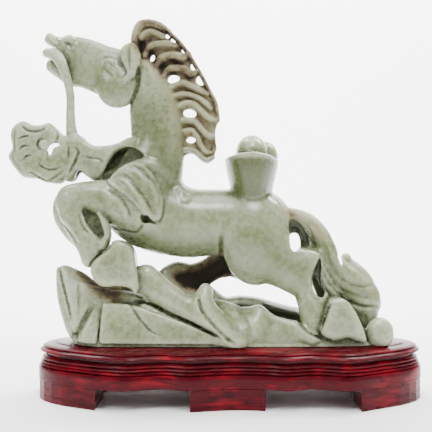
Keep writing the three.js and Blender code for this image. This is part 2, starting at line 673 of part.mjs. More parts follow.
// The ruyi: a stem held in the mouth and a cloud-shaped head, joined to the chest by a ribbon
function carveRuyi(clay) {
  clay.add(plate([[-222, 180], [-218, 190], [-220, 202], [-217, 211], [-208, 217], [-198, 213],
    [-190, 213], [-181, 215], [-174, 209], [-168, 203], [-160, 202], [-152, 198], [-151, 186],
    [-155, 172], [-160, 162], [-168, 157], [-174, 154], [-184, 155], [-194, 159], [-206, 160],
    [-213, 166]], -16, 9, 4, 2.5), 1);
  clay.add(plate([[-160, 202], [-151, 203], [-145, 197], [-137, 193], [-125, 192], [-112, 195],
    [-102, 200], [-90, 200], [-85, 185], [-96, 188], [-106, 189], [-114, 186], [-121, 176],
    [-128, 160], [-136, 157], [-144, 161], [-152, 166], [-158, 158], [-166, 160]],
  -15, 13, 4, 2), 2);
  clay.add(limb([[-182, -10, 284, 5, 6], [-176, -12, 283, 6, 6], [-170, -14, 277, 6, 6],
    [-166, -15, 268, 5, 6], [-162, -15, 256, 4.4, 5], [-159, -14, 240, 4.2, 5],
    [-159, -12, 222, 4.5, 5], [-158, -9, 208, 5.5, 6], [-157, -8, 196, 6.5, 7]]), 1);
  clay.raise([[-190, 178], [-190, 186], [-180, 190], [-171, 190], [-166, 182], [-168, 173],
    [-178, 168], [-187, 171]], 2, 5);
  clay.raise([[-192, 194], [-190, 199], [-184, 200], [-181, 195], [-183, 189], [-189, 188]], 1.5, 3);
  clay.groove([[-206, 212], [-201, 207], [-193, 206], [-186, 208], [-182, 211]], 2.5, 2.2);
  clay.groove([[-207, 162], [-198, 163], [-191, 160], [-182, 157], [-173, 160], [-166, 167]], 2.2, 2);
  clay.groove([[-161, 200], [-161, 186], [-162, 172], [-170, 160]], 2, 2);
  clay.groove([[-152, 188], [-154, 176], [-159, 162]], 2.2, 3);
  clay.groove([[-150, 186], [-140, 181], [-128, 177]], 2.2, 2);
  clay.add(limb([[-121, 5, 154, 8, 10], [-113, 5, 168, 10, 10], [-104, 5, 178, 10, 11],
    [-92, 4, 180, 12, 13]]), 1);
  clay.cut(limb([[-127, -19, 158, 4.5, 8], [-121, -20, 171, 5.5, 9], [-113, -21, 180, 6, 9],
    [-103, -22, 182, 6.5, 10], [-93, -24, 181, 5.5, 10], [-86, -26, 178, 3.5, 9]]), 2);
  clay.cut(egg([-175, 0, 190], [4, 30, 4]), 0.5);
}

// Overlapping folds of the shoulder, each raised at its right-hand edge
function carveShoulder(clay) {
  clay.raise([[-122, 153], [-118, 166], [-107, 174], [-92, 176], [-75, 174], [-61, 166],
    [-50, 151], [-64, 146], [-66, 128], [-71, 117], [-80, 117], [-100, 140]], 5, 14);
  clay.raise([[-118, 160], [-106, 169], [-93, 170], [-82, 163], [-76, 150], [-74, 136],
    [-80, 121], [-100, 128]], 3.4, 8);
  clay.raise([[-114, 160], [-103, 163], [-95, 156], [-89, 146], [-85, 135], [-90, 122],
    [-108, 122], [-122, 136]], 3.4, 8);
  clay.raise([[-126, 148], [-114, 144], [-105, 136], [-101, 126], [-98, 112], [-115, 113],
    [-135, 126]], 3, 8);
  clay.cut(limb([[-87, -38, 121, 2, 6], [-83, -38, 118, 2.4, 7], [-76, -38, 115, 2, 6],
    [-70, -38, 114, 1, 4]]), 1.5);
  clay.groove([[-8, 103], [-9, 92], [-8, 80], [-4, 70]], 4, 3);
  clay.groove([[80, 48], [84, 40], [90, 36]], 2, 1.5);
}

function carveTail(clay) {
  clay.add(limb([[52, 2, 120, 9, 9], [64, 0, 121, 8, 11], [78, -4, 115, 9, 13],
    [90, -6, 102, 9.5, 14], [97, -8, 86, 10.5, 15], [106, -10, 70, 12, 16],
    [119, -12, 54, 17, 17], [133, -14, 43, 16, 16], [138, -14, 34, 13, 14]]), 2);
  clay.add(limb([[98, -10, 80, 8, 12], [103, -11, 66, 9, 13], [108, -12, 54, 9, 13],
    [108, -13, 46, 8, 12]]), 1);
  clay.add(limb([[116, -6, 76, 5, 8], [125, -8, 67, 8, 11], [134, -10, 56, 9, 12],
    [139, -12, 45, 8, 12]]), 1);
  clay.add(limb([[126, -14, 33, 9, 11], [139, -15, 27, 9, 11], [139, -15, 14, 5, 9]]), 1);
  clay.add(limb([[58, 6, 115, 4, 8], [70, 5, 110, 4, 8], [77, 2, 99, 4.5, 9], [82, -2, 88, 5, 10],
    [90, -8, 76, 5, 10], [96, -12, 60, 6, 11]]), 1);
  clay.add(plate([[58, 121], [76, 118], [88, 104], [92, 88], [80, 88], [76, 98], [69, 107],
    [60, 111]], 0, 10, 2), 1);
  clay.add(limb([[63, 8, 114, 5, 6], [73, 8, 107, 6.5, 6], [78, 6, 97, 8, 7], [80, 2, 86, 9, 8],
    [86, -4, 72, 10, 8], [92, -4, 58, 11, 8], [98, -4, 44, 11, 8]]), 1);
  clay.cut(limb([[88, -34, 70, 2.5, 18], [86, -34, 58, 5, 20], [88, -34, 48, 6.5, 20]]), 1.5);
  clay.cut(egg([65, 0, 95], [5.6, 60, 9]), 1);
  clay.groove([[66, 118], [75, 113], [83, 102], [85, 92]], 2, 2.5);
  clay.groove([[95, 92], [100, 78], [108, 64], [120, 54], [132, 51], [144, 52]], 2.2, 2.5);
  clay.groove([[90, 72], [98, 56], [110, 43], [122, 35], [135, 31], [148, 31]], 2.4, 3);
  clay.groove([[101, 96], [106, 82], [115, 69], [126, 60]], 2, 1.5);
}

// The ingot: a tall boat, wide at the rim, with a dome rising in the middle
const INGOT = { middle: 22, bottom: 138, sides: 12, narrowing: 0.5, shortening: 0.66 };

function carveIngot(clay) {
  const boat = (halfWidth, halfLength, rim) => {
    const points = [];
    for (let k = 0; k < INGOT.sides; k += 1) {
      const turn = 2 * Math.PI * k / INGOT.sides;
      const [across, deep] = [halfWidth * Math.cos(turn), halfLength * Math.sin(turn)];
      points.push([INGOT.middle + across, deep, rim]);
      points.push([INGOT.middle + across * INGOT.narrowing, deep * INGOT.shortening, INGOT.bottom]);
    }
    return rock(points, 1.2);
  };
  clay.add(boat(25.5, 29, 184), 1);
  clay.add(boat(22, 42, 180), 0.8);
  clay.add(egg([27, 0, 182], [20.5, 24, 20]), 1);
}

// The slab under the rocks: its rim in plan, its levels and its top's share of the rim
const GROUND_RIM = [[-157, -20], [-148, -34], [-128, -45], [-60, -46], [0, -47], [70, -46],
  [128, -41], [144, -32], [152, -12], [150, 20], [130, 34], [70, 42], [-110, 42], [-150, 26]];
const GROUND = { bottom: -6, top: 9, length: 0.93, depth: 0.75 };

// Rocks on the left, a long spear-shaped rock in the middle and waves on the right
function carveGround(clay) {
  clay.add(rock([[-174, -4, 70], [-166, -10, 74], [-150, 2, 68], [-174, -16, 50],
    [-172, -20, 32], [-165, -30, 8], [-158, -34, -3], [-157, -36, 14], [-160, 20, 4],
    [-172, 22, 40], [-168, 20, 62], [-140, 25, 10]], 0.8));
  clay.add(rock([[-170, -12, 71], [-163, -10, 74], [-145, -6, 66], [-127, -12, 50],
    [-127, -30, 37], [-129, -34, 28], [-157, -40, 6], [-151, -44, -6], [-133, -46, -8],
    [-163, 20, 58], [-130, 24, 46], [-130, 36, 2], [-156, 26, 4]], 0.8), 1);
  clay.add(rock([[-150, -24, 56], [-118, -20, 48], [-116, -34, 34], [-150, -36, 20], [-160, -20, 20],
    [-158, -34, -6], [-112, -36, -6], [-150, 20, 50], [-118, 20, 44], [-156, 20, -1]], 0.8), 1);
  clay.add(rock([[-128, -40, 34], [-99, -38, 34], [-88, -40, 30], [-60, -42, 20], [-32, -44, 9],
    [-6, -46, -2], [-2, -46, -8], [-131, -46, -8], [-120, -8, 33], [-60, -4, 24], [0, 0, 6],
    [-120, 8, 6], [0, 10, 4]], 0.8), 1);
  clay.add(limb([[-84, -30, 58, 15, 10], [-66, -32, 44, 13, 10], [-44, -36, 30, 11, 9],
    [-24, -40, 17, 8, 8], [-7, -43, 4, 4, 5]]), 1);
  clay.add(rock([[-126, 12, 48], [-92, 8, 56], [-76, 6, 62], [-62, 4, 70], [-50, 10, 72],
    [-28, 2, 46], [-24, 10, 50], [-126, 36, 44], [-60, 38, 60], [-20, 34, 36], [-126, 38, 2],
    [0, 38, 2], [-126, 6, 10], [-10, -20, 8], [-60, -24, 30]], 0.8), 1);
  const crests = [
    [[-2, -42, 0, 13, 12], [-12, -32, 18, 12, 12], [-20, -18, 36, 10, 12], [-22, -6, 44, 8, 10]],
    [[14, -42, 0, 14, 12], [8, -32, 16, 13, 12], [2, -18, 30, 10, 12], [-1, -6, 34, 7, 10]],
    [[36, -42, 0, 14, 12], [30, -32, 15, 13, 12], [24, -18, 28, 10, 12], [20, -6, 33, 7, 10]],
    [[58, -42, -2, 14, 12], [48, -32, 8, 12, 11], [38, -22, 18, 9, 10], [32, -14, 26, 6, 9]],
  ];
  for (const crest of crests) clay.add(limb(crest), 2);
  clay.add(limb([[-22, 4, 45, 7, 12], [-6, 8, 34, 7, 14], [10, 8, 36, 6, 14], [28, 8, 34, 6, 14],
    [46, 10, 29, 6, 14], [62, 10, 25, 6, 14], [76, 8, 22, 7, 14]]), 2);
  const atGround = GROUND_RIM.map(([x, y]) => {
    const s = widening(y);
    return [EYE.x + (x - EYE.x) / s, y, EYE.z - (EYE.z - GROUND.bottom) / s];
  });
  const raised = GROUND_RIM.map(([x, y]) => [x * GROUND.length, y * GROUND.depth, GROUND.top]);
  clay.add(rock([...atGround, ...raised], 0.8), 2);
  clay.add(rock([[-20, -6, 30], [60, -6, 14], [86, 0, 16], [100, 6, 14], [-20, 34, 30],
    [60, 34, 20], [110, 30, 8], [-30, 36, 4], [120, 36, 0], [-20, -30, 6], [110, -20, 2]], 1), 2);
  clay.add(egg([150, -31, 4], [14, 10, 16]), 1);
  clay.groove([[-170, 69], [-167, 55], [-162, 35], [-158, 17]], 2, 2.5);
  clay.groove([[-137, 32], [-146, 16], [-154, -2]], 5, 4);
  clay.groove([[-99, 33], [-91, 20], [-79, 6], [-72, 3]], 2.2, 2.2);
  clay.groove([[-98, 37], [-80, 33], [-60, 23], [-35, 12], [-10, 0]], 3.5, 5);
  clay.groove([[-28, 40], [-24, 22], [-12, 8], [-3, 0]], 2.5, 2.5);
  clay.groove([[22, 28], [23, 16], [25, 6]], 2.5, 2);
}

function toManifold(wasm, points, faces) {
  const mesh = new wasm.Mesh({
    numProp: 3,
    vertProperties: new Float32Array(points.flat()),
    triVerts: new Uint32Array(faces.flat()),
  });
  mesh.merge();
  return new wasm.Manifold(mesh);
}

function toGeometry(points, faces) {
  const geometry = new THREE.BufferGeometry();
  geometry.setAttribute('position', new THREE.Float32BufferAttribute(points.flat(), 3));
  geometry.setIndex(faces.flat());
  return geometry;
}

// Carves the figure and cuts its underside flat where it sits on the platform
function makeFigure(wasm) {
  const clay = new Clay(BLOCK.low, BLOCK.high, CLAY_CELL);
  carveGround(clay);
  carveFarLegs(clay);
  carveBody(clay);
  carveTail(clay);
  carveHead(clay);
  carveMane(clay);
  carveRuyi(clay);
  carveNearLegs(clay);
  carveShoulder(clay);
  carveIngot(clay);
  const { points, faces } = simplify(largestBody(clay.surface()), FIGURE_FACES);
  const used = [...new Set(faces.flat())];
  const index = new Map(used.map((v, i) => [v, i]));
  const renumbered = faces.map((f) => f.map((v) => index.get(v)));
  const solid = toManifold(wasm, used.map((v) => points[v]), renumbered);
  const below = [];
  const { reach, bottom } = SAW;
  for (let k = 0; k < 8; k += 1) {
    below.push([k & 1 ? reach : -reach, k & 2 ? reach : -reach, k & 4 ? UNDERSIDE : bottom]);
  }
  const sides = [[0, 2, 1], [1, 2, 3], [4, 5, 6], [5, 7, 6], [0, 1, 4], [1, 5, 4], [2, 6, 3],
    [3, 6, 7], [0, 4, 2], [2, 4, 6], [1, 3, 5], [3, 7, 5]];
  const cut = solid.subtract(toManifold(wasm, below, sides)).getMesh();
  const geometry = new THREE.BufferGeometry();
  geometry.setAttribute('position', new THREE.BufferAttribute(cut.vertProperties.slice(), 3));
  geometry.setIndex([...cut.triVerts]);
  geometry.translate(0, 0, -UNDERSIDE);
  geometry.scale(PART, PART, PART);
  return geometry;
}

// The stand's waved side: shares of its half length, of its half depth, and of a lobe's depth in
const SIDE_POINTS = [[-1, 0, 0], [-0.982, 0.22, 0], [-0.929, 0.43, 0], [-0.845, 0.62, 0],
  [-0.732, 0.78, 0], [-0.625, 0.92, 0], [-0.494, 1, 0], [-0.34, 1, 0.9], [-0.208, 1, 0.14],
  [-0.089, 1, 0.8], [0.042, 1, 1.15], [0.161, 1, 0.8], [0.274, 1, 0.14], [0.405, 1, 0.9],
  [0.548, 1, 0], [0.637, 0.94, 0], [0.732, 0.79, 0], [0.845, 0.62, 0], [0.929, 0.43, 0],
  [0.982, 0.22, 0], [1, 0, 0]];

// Outline of the stand at the apron's face: a long cartouche with waves on its long sides
const OUTLINE = (() => {
  const front = SIDE_POINTS.map(([along, across, lobe]) => (
    [along * STAND_LENGTH / 2, across * STAND_DEPTH / 2 - lobe * LOBE_DEPTH]));
  const loop = [...front.map(([x, y]) => [x, -y]), ...front.slice(1, -1).reverse()];
  const fine = spline(loop, 8, true);
  const lengths = [0];
  fine.forEach((p, i) => {
    const q = fine[(i + 1) % fine.length];
    lengths.push(lengths[i] + Math.hypot(q[0] - p[0], q[1] - p[1]));
  });
  const total = lengths[fine.length];
  return Array.from({ length: STAND_STEPS }, (_, k) => {
    const want = total * k / STAND_STEPS;
    const i = lengths.findIndex((value) => value > want) - 1;
    const t = (want - lengths[i]) / (lengths[i + 1] - lengths[i]);
    const [p, q] = [fine[i], fine[(i + 1) % fine.length]];
    return [p[0] + (q[0] - p[0]) * t, p[1] + (q[1] - p[1]) * t];
  });
})();

function inset(distance) {
  return OUTLINE.map((p, i) => {
    const before = OUTLINE[(i + STAND_STEPS - 1) % STAND_STEPS];
    const after = OUTLINE[(i + 1) % STAND_STEPS];
    const [dx, dy] = [after[0] - before[0], after[1] - before[1]];
    const length = Math.hypot(dx, dy);
    return [p[0] - dy / length * distance, p[1] + dx / length * distance];
  });
}

// Joins rings of equal count; open rings are capped flat, a closed chain of rings is a hollow
function loft(rings, hollow = false) {
  const count = rings[0].length;
  const points = rings.flat();
  const faces = [];
  const spans = hollow ? rings.length : rings.length - 1;
  for (let r = 0; r < spans; r += 1) {
    const [low, high] = [r * count, ((r + 1) % rings.length) * count];
    for (let i = 0; i < count; i += 1) {
      const j = (i + 1) % count;
      faces.push([low + i, low + j, high + j], [low + i, high + j, high + i]);
    }
  }
  if (!hollow) {
    const flat = (ring) => ring.map(([x, y]) => new THREE.Vector2(x, y));
    const top = (rings.length - 1) * count;
    for (const [a, b, c] of THREE.ShapeUtils.triangulateShape(flat(rings[0]), [])) {
      faces.push([c, b, a]);
    }
    for (const [a, b, c] of THREE.ShapeUtils.triangulateShape(flat(rings.at(-1)), [])) {
      faces.push([top + a, top + b, top + c]);
    }
  }
  return toGeometry(points, faces);
}

const ring = (distance, z) => inset(distance).map(([x, y]) => [x, y, z]);

// Moulded edge of the top board, bottom to top: share of the reach in, share of the thickness up
const BOARD_PROFILE = [[0.42, 0], [0.42, 0.25], [0.1, 0.34], [0.1, 0.46], [0.3, 0.64], [0.26, 0.72],
  [0.42, 0.86], [0.92, 0.93], [1, 1]];

function makeBoard() {
  const bottom = STAND_HEIGHT - BOARD_THICKNESS;
  return loft(BOARD_PROFILE.map(([reach, up]) => (
    ring(reach * MOULDING_REACH, bottom + up * BOARD_THICKNESS))));
}

// Outer face of the apron, bottom to top: share of the bead in, share of the height up
const APRON_PROFILE = [[0, 0], [0, 0.56], [0.35, 0.62], [0.42, 0.73], [0.6, 0.78], [0.57, 0.88],
  [1, 1]];

function makeApron() {
  const bottom = FOOT_HEIGHT + SEAT_GAP;
  const height = STAND_HEIGHT - BOARD_THICKNESS - SEAT_GAP - bottom;
  const rings = APRON_PROFILE.map(([reach, up]) => ring(reach * APRON_BEAD, bottom + up * height));
  rings.push(ring(APRON_WALL, bottom + height), ring(APRON_WALL, bottom));
  return loft(rings, true);
}

// A block foot under the apron: the outline's stretch that passes the test, closed inwards
function makeFoot(passes, corners) {
  const face = inset(FOOT_SETBACK);
  const start = face.findIndex((p, i) => (
    passes(p) && !passes(face[(i + STAND_STEPS - 1) % STAND_STEPS])));
  const stretch = [];
  for (let k = 0; passes(face[(start + k) % STAND_STEPS]); k += 1) {
    stretch.push(face[(start + k) % STAND_STEPS]);
  }
  const plan = [corners.enter, ...stretch, corners.leave, ...corners.inner];
  return loft([plan.map(([x, y]) => [x, y, 0]), plan.map(([x, y]) => [x, y, FOOT_HEIGHT])]);
}

// Where the foot's outer face meets a cut across the stand at x, or along it at y
function faceAt(axis, value, sign) {
  const face = inset(FOOT_SETBACK);
  for (let i = 0; i < STAND_STEPS; i += 1) {
    const [p, q] = [face[i], face[(i + 1) % STAND_STEPS]];
    const [s, t] = [p[axis] - value, q[axis] - value];
    if (s * t <= 0 && s !== t && p[1 - axis] * sign > 0) {
      const share = s / (s - t);
      return [0, 1].map((k) => p[k] + (q[k] - p[k]) * share);
    }
  }
  return [0, 0];
}

function makeFeet() {
  const feet = [];
  const inner = STAND_DEPTH / 2 - FOOT_DEPTH;
  const end = CORNER_FOOT_GAP / 2;
  const [left, right] = [FEET_SHIFT - MIDDLE_FOOT_WIDTH / 2, FEET_SHIFT + MIDDLE_FOOT_WIDTH / 2];
  for (const [side, sy] of [['front', -1], ['back', 1]]) {
    const atX = (x) => faceAt(0, x, sy);
    const [from, to] = sy < 0 ? [left, right] : [right, left];
    feet.push([`foot_${side}_middle`, makeFoot(([x, y]) => x > left && x < right && y * sy > inner, {
      enter: atX(from), leave: atX(to), inner: [[to, sy * inner], [from, sy * inner]],
    })]);
    for (const [name, sx] of [['left', -1], ['right', 1]]) {
      const cut = sx * (STAND_LENGTH / 2 - CORNER_FOOT_LENGTH) + FEET_SHIFT;
      const ends = [atX(cut), faceAt(1, sy * end, sx)];
      if (sx * sy > 0) ends.reverse();
      feet.push([`foot_${side}_${name}`, makeFoot(([x, y]) => (x - cut) * sx > 0 && y * sy > end, {
        enter: ends[0], leave: ends[1], inner: [[cut, sy * end]],
      })]);
    }
  }
  return feet;
}

const stone = new THREE.MeshStandardMaterial({ color: 0xa9ae98, roughness: 0.35, metalness: 0 });
const lacquer = new THREE.MeshStandardMaterial({ color: 0x4a1512, roughness: 0.3, metalness: 0 });

const wasm = await Module();
wasm.setup();

const part = new THREE.Group();

function piece(name, geometry, material, z = 0) {
  const mesh = new THREE.Mesh(geometry, material);
  mesh.name = name;
  mesh.position.z = z;
  part.add(mesh);
}

piece('horse', makeFigure(wasm), stone, STAND_HEIGHT + SEAT_GAP);
piece('stand_top', makeBoard(), lacquer);
piece('stand_apron', makeApron(), lacquer);
for (const [name, geometry] of makeFeet()) piece(name, geometry, lacquer);

// The origin is under the middle of the whole object, on the surface it stands on
const box = new THREE.Box3().setFromObject(part, true);
const middle = box.getCenter(new THREE.Vector3());
for (const mesh of part.children) mesh.position.sub(new THREE.Vector3(middle.x, middle.y, 0));

export default part;
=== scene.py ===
# %% [markdown]
# A galloping horse carved in pale green stone, on a lacquered wooden stand.
#
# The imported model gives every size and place. This lesson dresses it: the stone is carved again
# with finer tools, the stand gets its full mouldings, and both get their finishes.
# Everything is in metres, +Z up, with the carved face towards -Y.

# %% Load the frame
import math
from itertools import combinations

import bpy
import numpy as np
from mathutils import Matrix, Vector


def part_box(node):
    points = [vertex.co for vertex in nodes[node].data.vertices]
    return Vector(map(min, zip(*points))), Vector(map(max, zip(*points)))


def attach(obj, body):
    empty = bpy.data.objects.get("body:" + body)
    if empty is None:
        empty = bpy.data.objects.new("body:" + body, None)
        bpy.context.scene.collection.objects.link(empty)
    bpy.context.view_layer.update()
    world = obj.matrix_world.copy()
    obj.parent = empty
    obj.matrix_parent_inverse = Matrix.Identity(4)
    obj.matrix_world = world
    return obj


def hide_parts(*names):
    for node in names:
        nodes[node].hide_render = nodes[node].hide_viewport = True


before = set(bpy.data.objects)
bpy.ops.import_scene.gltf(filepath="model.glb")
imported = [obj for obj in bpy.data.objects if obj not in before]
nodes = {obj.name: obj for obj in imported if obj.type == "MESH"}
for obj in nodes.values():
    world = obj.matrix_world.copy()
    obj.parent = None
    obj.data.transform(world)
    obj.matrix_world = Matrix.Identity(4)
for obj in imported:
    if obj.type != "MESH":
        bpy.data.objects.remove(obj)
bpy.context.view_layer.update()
horse_low, horse_high = (np.array(corner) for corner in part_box("horse"))
apron_low, apron_high = (np.array(corner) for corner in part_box("stand_apron"))
board_low, board_high = (np.array(corner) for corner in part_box("stand_top"))
MM = 0.001
print("frame of", len(nodes), "nodes")

# %% [markdown]
# The photograph was taken level, from close by, so the stand's front feet show larger than its
# back edge. A 62 mm lens at 0.659 m from the middle of the stand gives the same perspective.

# %% Camera
stand_middle = (apron_low + apron_high) / 2
CAMERA_DISTANCE = 0.659
CAMERA_HEIGHT = 0.158
CAMERA_LEFT_OF_MIDDLE = 0.0121

camera = bpy.data.objects.new("camera", bpy.data.cameras.new("camera"))
bpy.context.scene.collection.objects.link(camera)
bpy.context.scene.camera = camera
camera.data.sensor_width = 36
camera.data.lens = 62
camera.location = (stand_middle[0] - CAMERA_LEFT_OF_MIDDLE, -CAMERA_DISTANCE, CAMERA_HEIGHT)
camera.rotation_euler = (math.radians(90), 0, 0)
print("camera at", tuple(round(v, 4) for v in camera.location))

# %% [markdown]
# A few small helpers serve every material. Colours are given as they look on a screen, in hex, and
# become linear values. A node is added with its settings and its inputs in one call, and is handed
# on as a (node, output name) pair that the next one links to.

# %% Helpers for materials
def linear(colour):
    """Linear red, green, blue and alpha of a hex colour."""
    parts = [int(colour[i:i + 2], 16) / 255 for i in (0, 2, 4)]
    return (*[v / 12.92 if v <= 0.04045 else ((v + 0.055) / 1.055) ** 2.4 for v in parts], 1.0)


def connect(tree, node, **inputs):
    """Sets a node's inputs: each is a value, or a (node, output name) pair to link."""
    for name, value in inputs.items():
        key = int(name[1:]) if name[1:].isdigit() else name.replace("_", " ")
        socket = node.inputs[key]
        if isinstance(value, tuple) and isinstance(value[0], bpy.types.Node):
            tree.links.new(value[0].outputs[value[1]], socket)
        else:
            socket.default_value = value


def add_node(tree, kind, output, settings=None, **inputs):
    """Adds a shader node and gives its (node, output name) pair."""
    node = tree.nodes.new(kind)
    for name, value in (settings or {}).items():
        setattr(node, name, value)
    connect(tree, node, **inputs)
    return node, output


def new_material(name):
    """A material, its node tree and its main shader."""
    material = bpy.data.materials.new(name)
    material.use_nodes = True
    tree = material.node_tree
    return material, tree, tree.nodes["Principled BSDF"]


def noise(tree, place_in, size, **settings):
    """Noise with features of about the given size."""
    return add_node(tree, "ShaderNodeTexNoise", "Fac", Vector=place_in, Scale=1 / size, **settings)


def ranged(tree, value, **limits):
    """A value brought from one range to another."""
    return add_node(tree, "ShaderNodeMapRange", "Result", Value=value, **limits)


def reckoned(tree, operation, *values):
    """A sum of up to three values."""
    inputs = {f"_{k}": value for k, value in enumerate(values)}
    return add_node(tree, "ShaderNodeMath", "Value", {"operation": operation}, **inputs)


def kept_on_points(tree, name):
    """A value that the carving keeps on its points."""
    return add_node(tree, "ShaderNodeAttribute", "Fac", {"attribute_name": name})


def colour_ramp(tree, factor, *stops):
    """A ramp through (position, hex colour) stops."""
    made = add_node(tree, "ShaderNodeValToRGB", "Color", _0=factor)
    ramp = made[0].color_ramp
    while len(ramp.elements) < len(stops):
        ramp.elements.new(0.5)
    for element, (position, colour) in zip(ramp.elements, stops):
        element.position = position
        element.color = linear(colour)
    return made


def mixed(tree, factor, under, over):
    """One colour laid over another by a factor; each is a (node, output) pair or a hex colour."""
    under, over = (linear(c) if isinstance(c, str) else c for c in (under, over))
    return add_node(tree, "ShaderNodeMix", "Result", {"data_type": "RGBA"}, _0=factor, _6=under, _7=over)


def bumped(tree, height, strength, distance):
    """A surface roughened by a height."""
    return add_node(tree, "ShaderNodeBump", "Normal", Strength=strength, Distance=distance, Height=height)


# %% [markdown]
# The stone is a pale serpentine jade, sawn, drilled and polished with abrasive. Its colour drifts
# between grey-green, olive and grey over some 30 mm, with clouds of a few millimetres and dark
# specks. Its hollows are darkened as painted shade, and its edges are lightened as painted highlights.
# The mane and the far side were stained brown to look old. Light enters it a little way.

# %% Jade
CLOUD_SIZE = 30 * MM
MOTTLE_SIZE = 4.5 * MM
SPECK_SIZE = 2.2 * MM
GRAIN_SIZE = 1.2 * MM
LIGHT_DEPTH = 1.5 * MM

jade, tree, shader = new_material("polished_celadon_jade")
place_of = add_node(tree, "ShaderNodeTexCoord", "Object")
clouds = noise(tree, place_of, CLOUD_SIZE, Detail=4.0, Roughness=0.55)
mottle = noise(tree, place_of, MOTTLE_SIZE, Detail=5.0, Roughness=0.6)
specks = noise(tree, place_of, SPECK_SIZE, Detail=2.0)
grain = noise(tree, place_of, GRAIN_SIZE, Detail=3.0)
ground = colour_ramp(tree, clouds, (0.32, "606a3e"), (0.45, "737c59"), (0.55, "838a71"), (0.68, "6f754f"))
mottled = colour_ramp(tree, mottle, (0.35, "636c45"), (0.5, "7a8264"), (0.65, "949a80"))
body_colour = mixed(tree, 0.45, ground, mottled)
speck_mask = colour_ramp(tree, specks, (0.65, "000000"), (0.73, "ffffff"))
specked = mixed(tree, speck_mask, body_colour, "55523a")

# What the carving itself says is kept on its points: how hollow it is, which gives painted shade and painted
# highlights, how stained and shaded it is, and how olive and shaded it is.
hollow, stain_and_shade, olive_and_shade = (kept_on_points(tree, name) for name in ("hollow", "stain_and_shade", "olive_and_shade"))
# Painted shade darkens hollows, darkest in the deepest ones, and painted highlights lighten edges and
# ridges.
hollow_shade_mask = ranged(tree, hollow, From_Min=0.1, From_Max=1.0, To_Max=0.8)
deep_shade_mask = ranged(tree, hollow, From_Min=1.0, From_Max=1.5, To_Max=0.9)
edge_highlight_mask = ranged(tree, hollow, From_Min=-0.25, From_Max=-1.0, To_Max=0.35)
painted_hollow_shade = mixed(tree, hollow_shade_mask, specked, "33371c")
painted_deep_shade = mixed(tree, deep_shade_mask, painted_hollow_shade, "16180b")
painted_edge_highlight = mixed(tree, edge_highlight_mask, painted_deep_shade, "c2c4aa")
olive_and_shaded = mixed(tree, olive_and_shade, painted_edge_highlight, "444c24")

# The stain is broken up by the mottle and gathers in hollows.
broken_up = reckoned(tree, "MULTIPLY_ADD", mottle, 0.9, -0.45)
stain_and_shade_edge = reckoned(tree, "ADD", stain_and_shade, broken_up)
in_hollow = reckoned(tree, "MULTIPLY", stain_and_shade, hollow)
stain_and_shade_level = reckoned(tree, "MULTIPLY_ADD", in_hollow, 0.3, stain_and_shade_edge)
stain_and_shade_colour = colour_ramp(tree, stain_and_shade_level, (0.1, "8f8f6a"), (0.4, "80785a"), (0.7, "54493a"),
                           (1.0, "211b12"))
stain_and_shade_mask = ranged(tree, stain_and_shade_level, From_Min=0.05, From_Max=0.5)
stained_and_shaded = mixed(tree, stain_and_shade_mask, olive_and_shaded, stain_and_shade_colour)

# Stained and deep places are dull, the rest is polished.
polish = ranged(tree, mottle, From_Min=0.3, From_Max=0.7, To_Min=0.2, To_Max=0.36)
dull = reckoned(tree, "MAXIMUM", stain_and_shade_mask, deep_shade_mask)
connect(tree, shader, Base_Color=stained_and_shaded, Roughness=reckoned(tree, "MULTIPLY_ADD", dull, 0.35, polish),
        Specular_IOR_Level=ranged(tree, dull, To_Min=0.5, To_Max=0.12),
        Normal=bumped(tree, grain, 0.12, 0.15 * MM), IOR=1.57, Subsurface_Weight=0.12,
        Subsurface_Radius=(1.0, 1.1, 0.7), Subsurface_Scale=LIGHT_DEPTH)
print("jade done")

# %% [markdown]
# The stand is carved hardwood under dark red lacquer. The lacquer is nearly black-red in patches
# and glows a brighter red in streaks along the grain, where it is thin. A clear
# coat of polish gives narrow highlights on the beads.

# %% Lacquered wood
GRAIN_WIDTH = 4 * MM
STREAK_LENGTH = 30 * MM
PATCH_SIZE = 18 * MM

lacquer, tree, shader = new_material("dark_red_lacquered_hardwood")
place_of = add_node(tree, "ShaderNodeTexCoord", "Object")
along = add_node(tree, "ShaderNodeMapping", "Vector", Vector=place_of,
                 Scale=(1 / STREAK_LENGTH, 1 / STREAK_LENGTH, 1 / GRAIN_WIDTH))
streaks = noise(tree, along, 1.0, Detail=6.0, Roughness=0.6, Distortion=0.6)
patches = noise(tree, place_of, PATCH_SIZE, Detail=3.0)
streak_colour = colour_ramp(tree, streaks, (0.36, "2c040b"), (0.5, "4e0712"), (0.64, "760b19"),
                            (0.78, "9f1326"))
patch_mask = colour_ramp(tree, patches, (0.42, "000000"), (0.6, "ffffff"))
connect(tree, shader, Base_Color=mixed(tree, patch_mask, "40060f", streak_colour),
        Roughness=ranged(tree, streaks, From_Min=0.3, From_Max=0.7, To_Min=0.2, To_Max=0.4),
        Normal=bumped(tree, streaks, 0.25, 0.2 * MM), IOR=1.4, Specular_IOR_Level=0.12,
        Coat_Weight=0.05, Coat_Roughness=0.08)
print("lacquer done")

# %% [markdown]
# The carving is a block of clay on a fine grid. Each grid point holds its distance to the surface,
# so rounded forms can be laid on, blended, cut away and grooved, as a carver roughs out a block and
# then works it finer. The elevation is drawn as the eye sees it, 319.5 parts high, and place()
# brings a drawn point to its true place at its depth.

# %% Drawing in the elevation
PARTS_HIGH = 319.5
UNDERSIDE = -2.5
PART = (horse_high[2] - horse_low[2]) / PARTS_HIGH
EYE_X, EYE_Z, EYE_DISTANCE = -14, 122, 744
FAR = 60.0             # kept in the grid wherever no form is near
LIMB_REACH = 15.0      # a limb's distance is worked out this far from it
CELL = 1.0


def widening(y):
    """How much larger a drawn length is at its depth."""
    return 1 + y / EYE_DISTANCE


def place(point):
    """The true place, and radii if there are any, of a drawn point."""
    x, y, z, *radii = point
    s = widening(y)
    across = [radii[0] * s, radii[1] if len(radii) > 1 else radii[0]] if radii else []
    return [EYE_X + (x - EYE_X) * s, y, EYE_Z + (z - EYE_Z) * s, *across]


